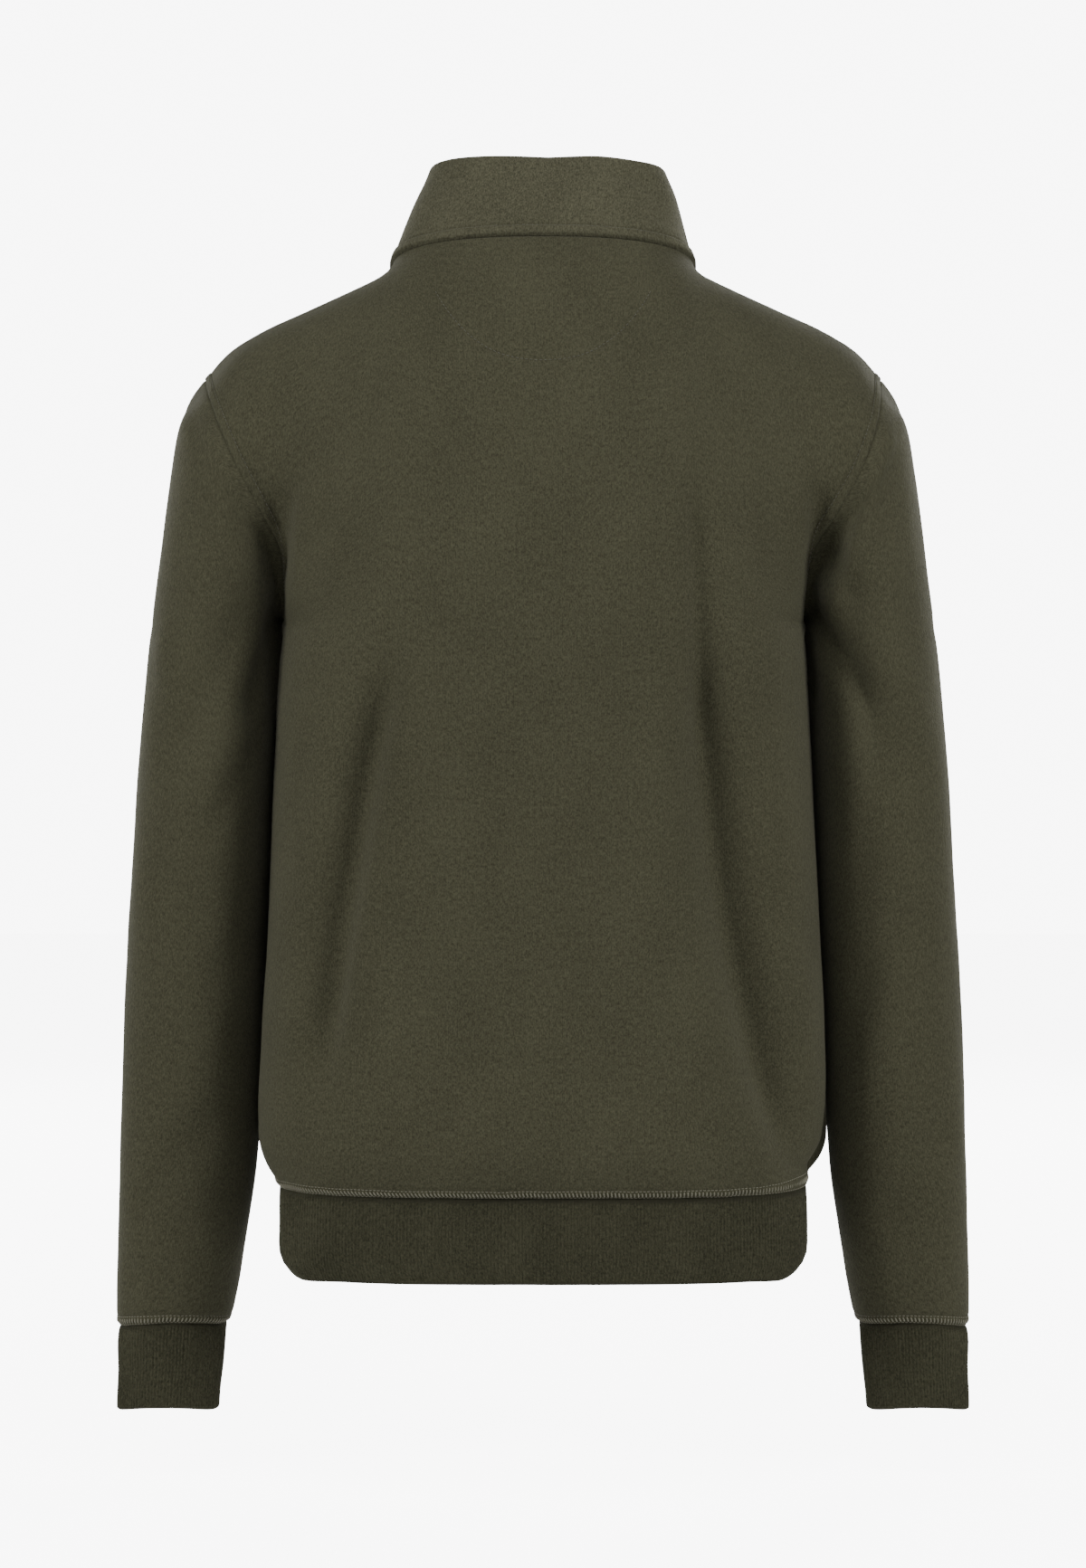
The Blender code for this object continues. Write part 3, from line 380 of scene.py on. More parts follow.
def top_half_row(face, shares):
    """Neck seam and then shoulder seam, at shares of the torso's half row."""
    neck = neck_half_row(face, np.clip(shares / NECK_SHARE, 0, 1))
    table = np.array(SHOULDER, dtype=float)
    fine_x = np.linspace(table[0, 0], table[-1, 0], 61)
    line = np.stack([fine_x, np.full(61, SHOULDER_Y),
                     smooth_curve(table[:, 0], table[:, 1], fine_x)], axis=1)
    shoulder = at_shares(line, np.clip((shares - NECK_SHARE) / (1 - NECK_SHARE), 0, 1))
    return np.where((shares <= NECK_SHARE)[:, None], neck, shoulder)


def armhole_line(face, wearer_side, shares):
    """Armhole seam from the underarm to the shoulder, of one face, on the +X side."""
    points = np.array(ARMHOLE, dtype=float)
    lengths = distances_along(points)
    line = smooth_curve(lengths / lengths[-1], points, np.linspace(0, 1, 121))
    if wearer_side == "right":
        line[:, 0] += RIGHT_ARMHOLE_OUT * np.sin(math.pi * np.linspace(0, 1, 121)) ** 2
    if face == "front":
        level = np.linspace(SIDE_Y, SHOULDER_Y, 121)
        line[:, 1] = level - (line[:, 1] - level) * FRONT_SCOOP
    return at_shares(line, shares)


def rising_row(face, shares, rise):
    """Half of a row above the underarm, before it is drawn to the armhole seam."""
    bottom = torso_half_row(UNDERARM_Z, face, shares)
    top = top_half_row(face, shares)
    full_turn = np.radians(50.0 + 38.0 * ease(shares / NECK_SHARE))
    fullness = 1.0 - (1.0 - SHOULDER_FULLNESS) * ease((shares - 0.3) / 0.3)
    turn = rise * full_turn
    down = (np.cos(turn) - np.cos(full_turn)) / (1 - np.cos(full_turn))
    up = np.sin(turn) / np.sin(full_turn)
    row = np.empty_like(bottom)
    row[:, 0] = bottom[:, 0] + (top[:, 0] - bottom[:, 0]) * ease(rise) ** 1.2
    row[:, 1] = top[:, 1] + (bottom[:, 1] - top[:, 1]) * down.clip(0) ** fullness
    row[:, 2] = bottom[:, 2] + (top[:, 2] - bottom[:, 2]) * up
    return row


def panel_half(face, wearer_side):
    """Half a panel on the +X side, with two more columns: its share of the row and its rise."""
    shares = np.concatenate([np.linspace(0, NECK_SHARE, 60)[:-1], np.linspace(NECK_SHARE, 1, 70)])
    heights = np.concatenate([np.linspace(HEM_Z, -575, 12)[:-1],
                              np.linspace(-575, UNDERARM_Z, 80)[:-1]])
    rises = np.linspace(0, 1, 90)
    table = np.array(RISES)
    seam_shares = smooth_curve(table[:, 0], table[:, 1], rises).clip(0, 1)
    seam = armhole_line(face, wearer_side, seam_shares)
    pull = np.clip((shares - 0.45) / 0.55, 0, 1) ** 2
    rows = [torso_half_row(height, face, shares) for height in heights]
    for rise, seam_point in zip(rises, seam):
        row = rising_row(face, shares, rise)
        rows.append(row + pull[:, None] * (seam_point - row[-1]))
    below = (heights - UNDERARM_Z) / (UNDERARM_Z - HEM_Z)
    level = np.concatenate([below, rises])
    grid = np.array(rows)
    soft = (ease((shares - 0.20) / 0.14) * ease((0.86 - shares) / 0.14))[None, :, None] \
        * np.concatenate([np.zeros(len(heights)), ease((rises - 0.38) / 0.25)])[:, None, None]
    for _ in range(NECK_SMOOTHING):
        near = (grid[1:-1, :-2] + grid[1:-1, 2:] + grid[:-2, 1:-1] + grid[2:, 1:-1]) / 4
        grid[1:-1, 1:-1] += 0.5 * soft[1:-1, 1:-1] * (near - grid[1:-1, 1:-1])
    extra = np.stack(np.broadcast_arrays(shares[None, :], level[:, None]), axis=-1)
    return np.concatenate([grid, extra], axis=-1)


def line_distance(x, z, x_top, z_top, x_end, z_end, bow):
    """Distance of points from a bowed line, and their place along it."""
    along = np.array([x_end - x_top, z_end - z_top], dtype=float)
    length = np.linalg.norm(along)
    along /= length
    step_x, step_z = x - x_top, z - z_top
    place = (step_x * along[0] + step_z * along[1]) / length
    across = step_x * along[1] - step_z * along[0]
    return across - bow * np.sin(math.pi * np.clip(place, 0, 1)), place


def trough(across, place, width, depth):
    """A soft trough that fades out at both its ends."""
    fade = ease((place + 0.15) / 0.35) * ease((1.15 - place) / 0.35)
    return depth * fade * np.exp(-0.5 * (across / width) ** 2)


def ring(outer_x, outer_z, inner_x, inner_z, middle_y, half_depth, angles):
    """A ring round the arm: from the outer side over the back, the inner side and the front."""
    power = 2 / SLEEVE_SQUARENESS
    outer = np.array([outer_x, 0.0, outer_z])
    inner = np.array([inner_x, 0.0, inner_z])
    cosine, sine = np.cos(angles), np.sin(angles)
    across = np.sign(cosine) * np.abs(cosine) ** power
    points = (outer + inner) / 2 + across[:, None] * (outer - inner) / 2
    points[:, 1] = middle_y + half_depth * np.sign(sine) * np.abs(sine) ** power
    points[:, 2] -= CUFF_SAG * ease((-640.0 - points[:, 2]) / 55.0) * cosine ** 2
    return points


def collar_half_ring(face, shares, height_share):
    """Half of a ring of the collar, from the centre to the side."""
    bottom = neck_half_row(face, shares)
    depth, rise = COLLAR_TOP_BACK if face == "back" else COLLAR_TOP_FRONT
    side_y, side_z = COLLAR_TOP_SIDE
    angle = (1 - shares) * math.pi / 2
    power = 2 / 2.15
    top = np.stack([COLLAR_TOP_HALF_WIDTH * np.cos(angle).clip(0) ** power,
                    side_y + (depth - side_y) * np.sin(angle) ** power,
                    side_z + (rise - side_z) * np.sin(angle) ** 1.5], axis=1)
    if face == "back":
        top[:, 2] += COLLAR_CORNER_RISE * height_share * np.sin(math.pi * (1 - shares) ** 0.62)
    row = bottom + (top - bottom) * height_share
    outward = row - (0.0, -8.0, 0.0)
    outward[:, 2] = 0.0
    outward /= np.linalg.norm(outward, axis=1)[:, None]
    return row + COLLAR_BULGE * math.sin(math.pi * height_share) * outward


# ---------------------------------------------------------------- laying out cloth
def new_object(name, data):
    """An object of the scene."""
    item = bpy.data.objects.new(name, data)
    bpy.context.scene.collection.objects.link(item)
    return item


def spread(grid, near_start, near_end, step):
    """Lay out a grid's rows again: true distances near both ends and even steps between."""
    near_start, near_end = np.array(near_start), np.array(near_end)
    lengths = distances_along(grid)
    held = near_start[-1] + near_end[-1]
    between = max(3, round((lengths[-1].mean() - held) / step))
    even = np.linspace(0, 1, between + 1)[1:-1]
    lines = []
    for place in range(grid.shape[1]):
        total = lengths[-1, place]
        fit = min(1.0, 0.8 * total / held)
        start, end = near_start * fit, total - near_end[::-1] * fit
        at = np.concatenate([start, start[-1] + (end[0] - start[-1]) * even, end])
        lines.append(points_at(at, lengths[:, place], grid[:, place]))
    return np.stack(lines, axis=1)


def across(grid):
    """The same grid with its rows and columns changed over."""
    return np.swapaxes(grid, 0, 1)


def normals_of(points, flipped, closed):
    """Outward direction at each point of a grid."""
    if closed:
        along_row = np.roll(points, -1, axis=1) - np.roll(points, 1, axis=1)
    else:
        along_row = np.gradient(points, axis=1)
    up_column = np.gradient(points, axis=0)
    normals = np.cross(up_column, along_row)
    if flipped:
        normals = -normals
    return normals / np.linalg.norm(normals, axis=-1, keepdims=True).clip(1e-9)


def unevenness(points, size, height, stretch=1.6):
    """Soft irregular height, longer down the cloth than across it."""
    scaled = points / size
    flat = scaled.reshape(-1, 3)
    values = [noise.noise(Vector((x, y, z / stretch))) for x, y, z in flat]
    return height * np.array(values).reshape(points.shape[:-1])


def groove(distance, at):
    """The line that a row of stitches presses into the cloth."""
    return GROOVE * np.exp(-((distance - at) / GROOVE_WIDTH) ** 2)


def seam_dip(distance):
    """How far the cloth rolls in towards a seam."""
    return SEAM_DIP * (1 - ease(distance / SEAM_ROLL)) ** 1.5


def pucker(points, distance):
    """Small puckers that a row of stitches draws up in the cloth beside it."""
    size, height, reach = PUCKER
    return unevenness(points, size, height, 1.0) * np.exp(-distance / reach)


def drawn_in(points, distance, size, height, reach):
    """Upright gathers that a band draws up in the cloth above it."""
    return (unevenness(points * (1, 1, 0.25), size, height, 1.0) * ease(distance / 4)
            * np.exp(-distance / reach))


def with_flat_seam(relief, distance):
    """Relief with the two rows of stitches and the raised edge of the seam above a band."""
    for row_distance in HEM_STITCHES:
        relief = relief - groove(distance, row_distance)
    return relief + 0.5 * ease(distance / 1.2) * ease((HEM_STITCHES[1] + 1.2 - distance) / 1.8)


def rounded_edge(distance, half_thickness):
    """Half thickness near a folded edge, as the share of the full one."""
    away = np.clip(distance / half_thickness, 0, 1)
    return np.sqrt(np.clip(1 - (1 - away) ** 2, 0.0004, 1))


def border_edges(cells, count):
    """Directed edges that only one cell uses, as pairs of places."""
    edges = np.concatenate([cells[:, [side, (side + 1) % 4]] for side in range(4)])
    here = edges[:, 0] * count + edges[:, 1]
    back = edges[:, 1] * count + edges[:, 0]
    return edges[~np.isin(here, back)]


def make_wall(name, outer, inner, materials, flipped=False, closed=False, open_cells=()):
    """A closed wall of cloth from its outer and its inner side, with a UV map in metres."""
    rows, columns = outer.shape[:2]
    count = rows * columns
    last = columns if closed else columns - 1
    row, place = np.meshgrid(np.arange(rows - 1), np.arange(last), indexing="ij")
    keep = np.ones(row.shape, dtype=bool)
    for cell in open_cells:
        keep[cell] = False
    row, place = row[keep], place[keep]
    right = (place + 1) % columns
    cells = np.stack([row * columns + place, row * columns + right,
                      (row + 1) * columns + right, (row + 1) * columns + place], axis=1)
    wide = columns + 1 if closed else columns
    spots = np.stack([row * wide + place, row * wide + place + 1,
                      (row + 1) * wide + place + 1, (row + 1) * wide + place], axis=1)
    if not flipped:
        cells, spots = cells[:, ::-1], spots[:, ::-1]
    rims = border_edges(cells, count)
    rim_faces = np.stack([rims[:, 1], rims[:, 0], rims[:, 0] + count, rims[:, 1] + count], axis=1)
    faces = np.concatenate([cells, cells[:, ::-1] + count, rim_faces])
    vertices = np.concatenate([outer.reshape(-1, 3), inner.reshape(-1, 3)]) * MM
    used = np.zeros(len(vertices), dtype=bool)
    used[faces.ravel()] = True
    number = np.cumsum(used) - 1
    mesh = bpy.data.meshes.new(name)
    mesh.from_pydata(vertices[used].tolist(), [], number[faces].tolist())
    uv = cloth_map(outer, closed).reshape(-1, 2) * MM
    corner_row, corner_column = np.divmod(rim_faces % count, columns)
    rim_spots = corner_row * wide + corner_column
    loops = np.concatenate([spots, spots[:, ::-1], rim_spots])
    layer = mesh.uv_layers.new(name="cloth")
    layer.data.foreach_set("uv", uv[loops.ravel()].astype(np.float32).ravel())
    for material in materials:
        mesh.materials.append(material)
    if len(materials) > 1:
        side = np.concatenate([np.zeros(len(cells)), np.ones(len(cells)), np.zeros(len(rims))])
        mesh.polygons.foreach_set("material_index", side.astype(np.int32))
    mesh.shade_smooth()
    item = new_object(name, mesh)
    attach(item, "garment")
    return item


def cloth_map(outer, closed):
    """Distance across and up the cloth at each point, from its middle column."""
    points = outer
    if closed:
        points = np.concatenate([outer, outer[:, :1]], axis=1)
    middle = points.shape[1] // 2
    width = across(distances_along(across(points)))
    width = width - width[:, middle:middle + 1]
    height = distances_along(points)
    height = np.broadcast_to(height[:, middle:middle + 1], width.shape)
    return np.stack([width, height], axis=-1)


# ---------------------------------------------------------------- rows of stitches
def stitch_row(name, lines, length, gap, thickness, material):
    """One object of raised stitches along lines of surface points and directions."""
    turns = np.linspace(0, 2 * math.pi, STITCH_SIDES + 1)[:-1]
    share, lift, width = np.array(STITCH_PROFILE).T
    rings, sides = len(share), len(turns)
    groups = []
    for points, directions in lines:
        lengths = distances_along(points)
        both = np.concatenate([points, directions], axis=1)
        count = max(1, int(lengths[-1] / (length + gap)))
        starts = (np.arange(count) + 0.5) * lengths[-1] / count - length / 2
        at = starts[:, None] + share[None, :] * length
        spots = points_at(at, lengths, both)
        place, up = spots[..., :3], spots[..., 3:]
        up = up / np.linalg.norm(up, axis=-1, keepdims=True)
        beside = np.cross(place[:, -1:] - place[:, :1], up)
        beside /= np.linalg.norm(beside, axis=-1, keepdims=True)
        middle = place + up * (lift * thickness)[None, :, None]
        reach = (beside[:, :, None] * np.cos(turns)[None, None, :, None]
                 + up[:, :, None] * np.sin(turns)[None, None, :, None])
        radius = (width * thickness / 2)[None, :, None, None]
        groups.append((middle[:, :, None] + reach * radius).reshape(-1, 3))
    vertices = np.concatenate(groups)
    pattern = [(step * sides + turn, (step + 1) * sides + turn,
                (step + 1) * sides + (turn + 1) % sides, step * sides + (turn + 1) % sides)
               for step in range(rings - 1) for turn in range(sides)]
    ends = [tuple(range(sides)), tuple((rings - 1) * sides + turn for turn in range(sides))]
    faces = [tuple(corner + base for corner in face)
             for base in range(0, len(vertices), rings * sides) for face in pattern + ends]
    return plain_mesh(name, vertices, faces, material)


def plain_mesh(name, vertices, faces, material, body="garment"):
    """A mesh object from points in millimetres, with its faces turned outward."""
    mesh = bpy.data.meshes.new(name)
    mesh.from_pydata((np.asarray(vertices) * MM).tolist(), [], faces)
    shape = bmesh.new()
    shape.from_mesh(mesh)
    bmesh.ops.recalc_face_normals(shape, faces=shape.faces)
    shape.to_mesh(mesh)
    shape.free()
    mesh.materials.append(material)
    mesh.shade_smooth()
    item = new_object(name, mesh)
    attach(item, body)
    return item


# ---------------------------------------------------------------- materials
def new_material(name, **sockets):
    """A material and its node tree, with plain values set on its Principled shader."""
    material = bpy.data.materials.new(name)
    material.use_nodes = True
    tree = material.node_tree
    shader = tree.nodes["Principled BSDF"]
    for socket, value in sockets.items():
        shader.inputs[socket.replace("_", " ")].default_value = value
    return material, tree, shader


def add_node(tree, kind, settings=None, **inputs):
    """A node with its settings and inputs, each a value or another node's output."""
    node = tree.nodes.new(kind)
    for name, value in (settings or {}).items():
        setattr(node, name, value)
    for name, value in inputs.items():
        socket = node.inputs[int(name[1:]) if name[0] == "i" and name[1:].isdigit()
                             else name.replace("_", " ")]
        if isinstance(value, bpy.types.NodeSocket):
            tree.links.new(value, socket)
        else:
            socket.default_value = value
    return node


def math_node(tree, operation, first, second=0.0):
    """The result of one sum of two numbers."""
    return add_node(tree, "ShaderNodeMath", {"operation": operation}, i0=first,
                    i1=second).outputs[0]


def new_group(name, inputs, outputs):
    """An empty node group with its named sockets."""
    group = bpy.data.node_groups.new(name, "ShaderNodeTree")
    for label, kind, value in inputs:
        socket = group.interface.new_socket(label, in_out="INPUT", socket_type="NodeSocket" + kind)
        if value is not None:
            socket.default_value = value
    for label, kind in outputs:
        group.interface.new_socket(label, in_out="OUTPUT", socket_type="NodeSocket" + kind)
    return group, group.nodes.new("NodeGroupInput"), group.nodes.new("NodeGroupOutput")


def noise_node(tree, vector, scale, detail=2.0, roughness=0.55):
    return add_node(tree, "ShaderNodeTexNoise", None, Vector=vector, Scale=scale, Detail=detail,
                    Roughness=roughness).outputs["Fac"]


def brushed_nap_group():
    """Brushed knit: cloudy shade where the nap lies over, mottling, fibres and fine wales."""
    group, start, end = new_group(
        "brushed nap",
        (("Map", "Vector", None), ("Shade", "Color", (0.06, 0.055, 0.04, 1)),
         ("Light", "Color", (0.09, 0.085, 0.06, 1)), ("Cloud", "Float", 0.3),
         ("Mottle", "Float", 0.3), ("Fibre", "Float", 0.4), ("Wales", "Float", 0.1)),
        (("Color", "Color"), ("Height", "Float")))
    place = start.outputs["Map"]
    drawn = add_node(group, "ShaderNodeMapping", None, Vector=place, Scale=(1.0, 0.55, 1.0))
    cloud = noise_node(group, drawn.outputs[0], 24.0, 3.0)
    mottle = noise_node(group, drawn.outputs[0], 460.0, 3.0, 0.6)
    fibre = noise_node(group, drawn.outputs[0], 1100.0, 2.0, 0.7)
    wales = add_node(group, "ShaderNodeTexWave", {"bands_direction": "X"}, Vector=place,
                     Scale=285.0, Distortion=2.0, Detail=1.0, Detail_Scale=3.0).outputs["Fac"]
    total = None
    for value, amount in ((cloud, "Cloud"), (mottle, "Mottle"), (fibre, "Fibre"),
                          (wales, "Wales")):
        part = math_node(group, "MULTIPLY", math_node(group, "SUBTRACT", value, 0.5),
                         start.outputs[amount])
        total = part if total is None else math_node(group, "ADD", total, part)
    share = math_node(group, "ADD", total, 0.5)
    mix = add_node(group, "ShaderNodeMix", {"data_type": "RGBA", "clamp_factor": True})
    group.links.new(share, mix.inputs[0])
    group.links.new(start.outputs["Shade"], mix.inputs[6])
    group.links.new(start.outputs["Light"], mix.inputs[7])
    group.links.new(mix.outputs[2], end.inputs["Color"])
    height = math_node(group, "ADD", math_node(group, "MULTIPLY", fibre, 0.55),
                       math_node(group, "MULTIPLY", mottle, 0.9))
    height = math_node(group, "ADD", height, math_node(group, "MULTIPLY", wales, 0.12))
    group.links.new(height, end.inputs["Height"])
    return group


def raise_surface(tree, shader, strength, distance, height):
    """Give a shader the fine relief of a height."""
    raised = add_node(tree, "ShaderNodeBump", None, Strength=strength, Distance=distance,
                      Height=height)
    tree.links.new(raised.outputs[0], shader.inputs["Normal"])


def mixed_colour(tree, shader, share, dark, bright):
    """Give a shader a colour between a dark and a bright one."""
    mix = add_node(tree, "ShaderNodeMix", {"data_type": "RGBA"}, i0=share, i6=dark, i7=bright)
    tree.links.new(mix.outputs[2], shader.inputs["Base Color"])


def cloth_material(name, shade, light, cloud, mottle, fibre, wales, bump, sheen):
    """Brushed or knitted cloth between two shades, with the weights of its nap."""
    material, tree, shader = new_material(
        name, Roughness=0.95, Sheen_Weight=sheen, Sheen_Roughness=0.45, Sheen_Tint=SHEEN_TINT,
        Specular_IOR_Level=0.12)
    place = add_node(tree, "ShaderNodeUVMap", {"uv_map": "cloth"}).outputs[0]
    nap = add_node(tree, "ShaderNodeGroup", {"node_tree": nap_group}, Map=place, Shade=shade,
                   Light=light, Cloud=cloud, Mottle=mottle, Fibre=fibre, Wales=wales)
    tree.links.new(nap.outputs["Color"], shader.inputs["Base Color"])
    raise_surface(tree, shader, bump, 0.0009, nap.outputs["Height"])
    return material


def thread_material(name, shade, light):
    """Twisted sewing thread."""
    material, tree, shader = new_material(name, Roughness=0.6, Sheen_Weight=0.2,
                                          Specular_IOR_Level=0.3)
    place = add_node(tree, "ShaderNodeTexCoord").outputs["Object"]
    twist = add_node(tree, "ShaderNodeTexWave", {"bands_direction": "DIAGONAL"}, Vector=place,
                     Scale=700.0, Distortion=1.0).outputs["Fac"]
    mixed_colour(tree, shader, twist, shade, light)
    raise_surface(tree, shader, 0.5, 0.0002, twist)
    return material


def metal_material(name, dark, bright):
    """Dark zip metal, a little brighter where it is rubbed, with fine scratches."""
    material, tree, shader = new_material(name, Metallic=1.0)
    place = add_node(tree, "ShaderNodeTexCoord").outputs["Object"]
    patches = noise_node(tree, place, 420.0, 4.0, 0.6)
    scratches = add_node(tree, "ShaderNodeMapping", None, Vector=place, Scale=(1.0, 1.0, 0.12))
    lines = noise_node(tree, scratches.outputs[0], 2600.0, 2.0)
    mixed_colour(tree, shader, patches, dark, bright)
    rough = add_node(tree, "ShaderNodeMapRange", None, Value=lines, To_Min=0.28, To_Max=0.5)
    tree.links.new(rough.outputs[0], shader.inputs["Roughness"])
    raise_surface(tree, shader, 0.25, 0.0001, lines)
    return material


nap_group = brushed_nap_group()
olive, olive_inside, painted_light_collar_olive, rib, tape_cloth = (cloth_material(*look) for look in CLOTHS)
thread = thread_material("olive_thread", (0.042, 0.040, 0.026, 1), (0.080, 0.077, 0.050, 1))
light_thread = thread_material("light_olive_thread", (0.115, 0.110, 0.076, 1),
                               (0.20, 0.19, 0.135, 1))
metal = metal_material("dark_zip_metal", (0.10, 0.095, 0.08, 1), (0.22, 0.205, 0.17, 1))


# ---------------------------------------------------------------- the body's panels
def torso_fold_depth(face, x, z):
    """How far the folds press a panel in."""
    depth = np.zeros(x.shape)
    for fold_face, x_top, z_top, x_end, z_end, bow, width, deep in TORSO_FOLDS:
        if fold_face == face:
            from_line, place = line_distance(x, z, x_top, z_top, x_end, z_end, bow)
            depth += trough(from_line, place, width, deep)
    return depth


def armpit_wave(z, y):
    """Waves in the cloth below the armpit: towards the body in the middle, away beside it."""
    down = UNDERARM_Z - z
    reach = ease((down - 3.0) / 9.0) * (1 - ease((down - 42.0) / 34.0))
    beside = np.exp(-((y - 20.0) / 9.0) ** 2) + np.exp(-((y + 24.0) / 9.0) ** 2)
    return reach * (np.exp(-((y + 2.0) / 9.0) ** 2) - 0.5 * beside)


def armpit_bunch(z, y, from_seam):
    """Cloth of the body that bunches up beside the underarm point, behind and in front of it."""
    down = UNDERARM_Z - z
    close, beyond = (height * sum(np.exp(-((y - middle) / width) ** 2) for middle in middles)
                     for height, middles, width in (ARMPIT_BUNCH, ARMPIT_BEYOND))
    return ease(from_seam / 5.0) * (close * np.exp(-((down - 0.5) / 4.5) ** 2)
                                    + beyond * np.exp(-((down - 2.0) / 11.0) ** 2))


def armpit_close(z, from_seam):
    """Cloth drawn together just below the seam, which closes the notch under the arm."""
    down = UNDERARM_Z - z
    return (ARMPIT_CLOSE * ease(down / 3.0) * np.exp(-((down - 5.0) / 6.5) ** 2)
            * np.exp(-(from_seam / 16.0) ** 2))


def torso_layout(face):
    """A panel's grid, laid out with fine rows and columns near its seams."""
    halves = []
    for wearer_side in ("right", "left"):
        half = panel_half(face, wearer_side)
        near_middle = (0.0, CLOTH_STEP)
        if face == "front":
            edge = half[:, :1].copy()
            beyond = half[0, :, 0] > SLIT_HALF_WIDTH
            edge[..., 0] = SLIT_HALF_WIDTH
            half = np.concatenate([edge, half[:, beyond]], axis=1)
            near_middle = NEAR_EDGE
        half = across(spread(across(half), near_middle, NEAR_SEAM, CLOTH_STEP))
        if wearer_side == "right":
            half = half[:, ::-1].copy()
            half[..., 0] *= -1
            half[..., 3] *= -1
            if face == "back":
                half = half[:, :-1]
        halves.append(half)
    grid = np.concatenate(halves, axis=1)
    return spread(grid, NEAR_HEM, NEAR_SEAM, CLOTH_STEP)


def make_torso(face):
    """The front or the back: its object, and the grids that stitches and tapes lie on."""
    front = face == "front"
    grid = torso_layout(face)
    points, level = grid[..., :3], grid[..., 4]
    from_start, side = from_sides(points)
    bottom, top = from_ends(points)
    normals = normals_of(points, front, False)
    middle = int(np.argmax(points[0, :, 0] > -0.1))
    slit_row = int(np.argmin(np.abs(points[:, middle, 2] - UNDERARM_Z)))
    calm = ease(side / 9) * ease(top / 20) * ease(bottom / 14)
    if front:
        from_slit = np.abs(points[..., 0]) - SLIT_HALF_WIDTH
        beside_zip = ease((points[..., 2] - UNDERARM_Z + 40.0) / 25.0)
        calm = calm * (1 - beside_zip * (1 - ease((from_slit - 13.0) / 22.0)))
    inward = calm * (torso_fold_depth(face, points[..., 0], points[..., 2])
                     + unevenness(points, *UNEVEN_BROAD) + unevenness(points, *UNEVEN_SMALL))
    inward = inward + drawn_in(points, bottom, *DRAWN_AT_HEM)
    armhole = ease(level / 0.08)
    inward = inward + armhole * pucker(points, side) * ease(side / 2)
    points = points - normals * inward[..., None]
    outward = np.sign(points[..., 0])
    depth = points[..., 1]
    height = points[..., 2]
    points[..., 0] += outward * (armpit_close(height, side) + armpit_bunch(height, depth, side))
    points[..., 0] += (outward * LOW_SIDE_SWELL * np.exp(-((height - LOW_SIDE_Z) / 28.0) ** 2)
                       * ease(bottom / 20) * np.exp(-(side / 30.0) ** 2))
    points[..., 0] -= (0.7 * ARMPIT_WAVE * outward * armpit_wave(height, depth)
                       * np.exp(-(side / 60.0) ** 2))
    normals = normals_of(points, front, False)
    relief = -seam_dip(side)
    welt = WELT_HEIGHT * ease(side / 1.3) * ease((ARMHOLE_STITCH + 0.9 - side) / 1.4)
    relief += armhole * (welt - groove(side, ARMHOLE_STITCH))
    relief -= seam_dip(bottom) + seam_dip(top)
    relief = with_flat_seam(relief, bottom)
    half = np.full(side.shape, CLOTH / 2)
    inner_half = CLOTH / 2 - 0.4 * (seam_dip(side) + seam_dip(bottom) + seam_dip(top))
    open_cells = ()
    if front:
        open_cells = [(slice(slit_row, None), middle - 1)]
        place = np.arange(points.shape[1])
        slit_distance = np.where(place < middle, from_start[:, middle - 1:middle] - from_start,
                                 from_start - from_start[:, middle:middle + 1])
        row_number = np.arange(points.shape[0])[:, None]
        beside = ease((row_number - slit_row + 1) / 3.0)
        thin = rounded_edge(slit_distance, CLOTH / 2)
        full = beside * thin + (1 - beside)
        half, inner_half = half * full, inner_half * full
        relief = relief * full - beside * groove(slit_distance, SLIT_STITCH)
    relief = np.maximum(relief, 0.15 - half)
    outer = points + normals * (half + relief)[..., None]
    inner = points - normals * np.maximum(inner_half, 0.02)[..., None]
    item = make_wall(face + "_cloth", outer, inner, (olive, olive_inside), flipped=front,
                     open_cells=open_cells)
    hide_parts(face)
    return {"item": item, "outer": outer, "inner": inner, "normals": normals, "level": level,
            "slit_row": slit_row, "middle": middle}


back = make_torso("back")
front = make_torso("front")


# ---------------------------------------------------------------- sleeves, cuffs and hem
def sleeve_grid(wearer_side):
    """A sleeve on the +X side, rows down the arm, and the angle of each of its columns."""
    shares = np.linspace(0, 1, SLEEVE_COLUMNS // 2 + 1)
    back_line = armhole_line("back", wearer_side, shares)
    front_line = armhole_line("front", wearer_side, shares)
    first = np.concatenate([back_line[::-1], front_line[1:-1]])
    angles = np.concatenate([math.pi - math.pi * shares[::-1], math.pi + math.pi * shares[1:-1]])
    low, high = first[:, 2].min(), first[:, 2].max()
    rise = ((first[:, 2] - low) / (high - low))[:, None]
    step = np.array(ARMHOLE_STEP_UNDERARM) * (1 - rise) + np.array(ARMHOLE_STEP_SHOULDER) * rise
    rings = np.array([first, first + step] + [ring(*row, angles) for row in SLEEVE_RINGS])
    knots = distances_along(rings).mean(axis=1)
    rows = smooth_curve(knots, rings, np.linspace(0, knots[-1], 260))
    return spread(rows, NEAR_SEAM, NEAR_HEM, CLOTH_STEP), angles


def sleeve_fold_depth(wearer_side, around, z):
    """How far the folds press a sleeve in."""
    depth = np.zeros(z.shape)
    arc = math.radians(1.0) * SLEEVE_RADIUS
    for side, angle_top, z_top, angle_end, z_end, width, deep in SLEEVE_FOLDS:
        if side == wearer_side:
            from_line, place = line_distance(around * arc, z, angle_top * arc, z_top,
                                             angle_end * arc, z_end, 0.0)
            depth += trough(from_line, place, width, deep)
    return depth


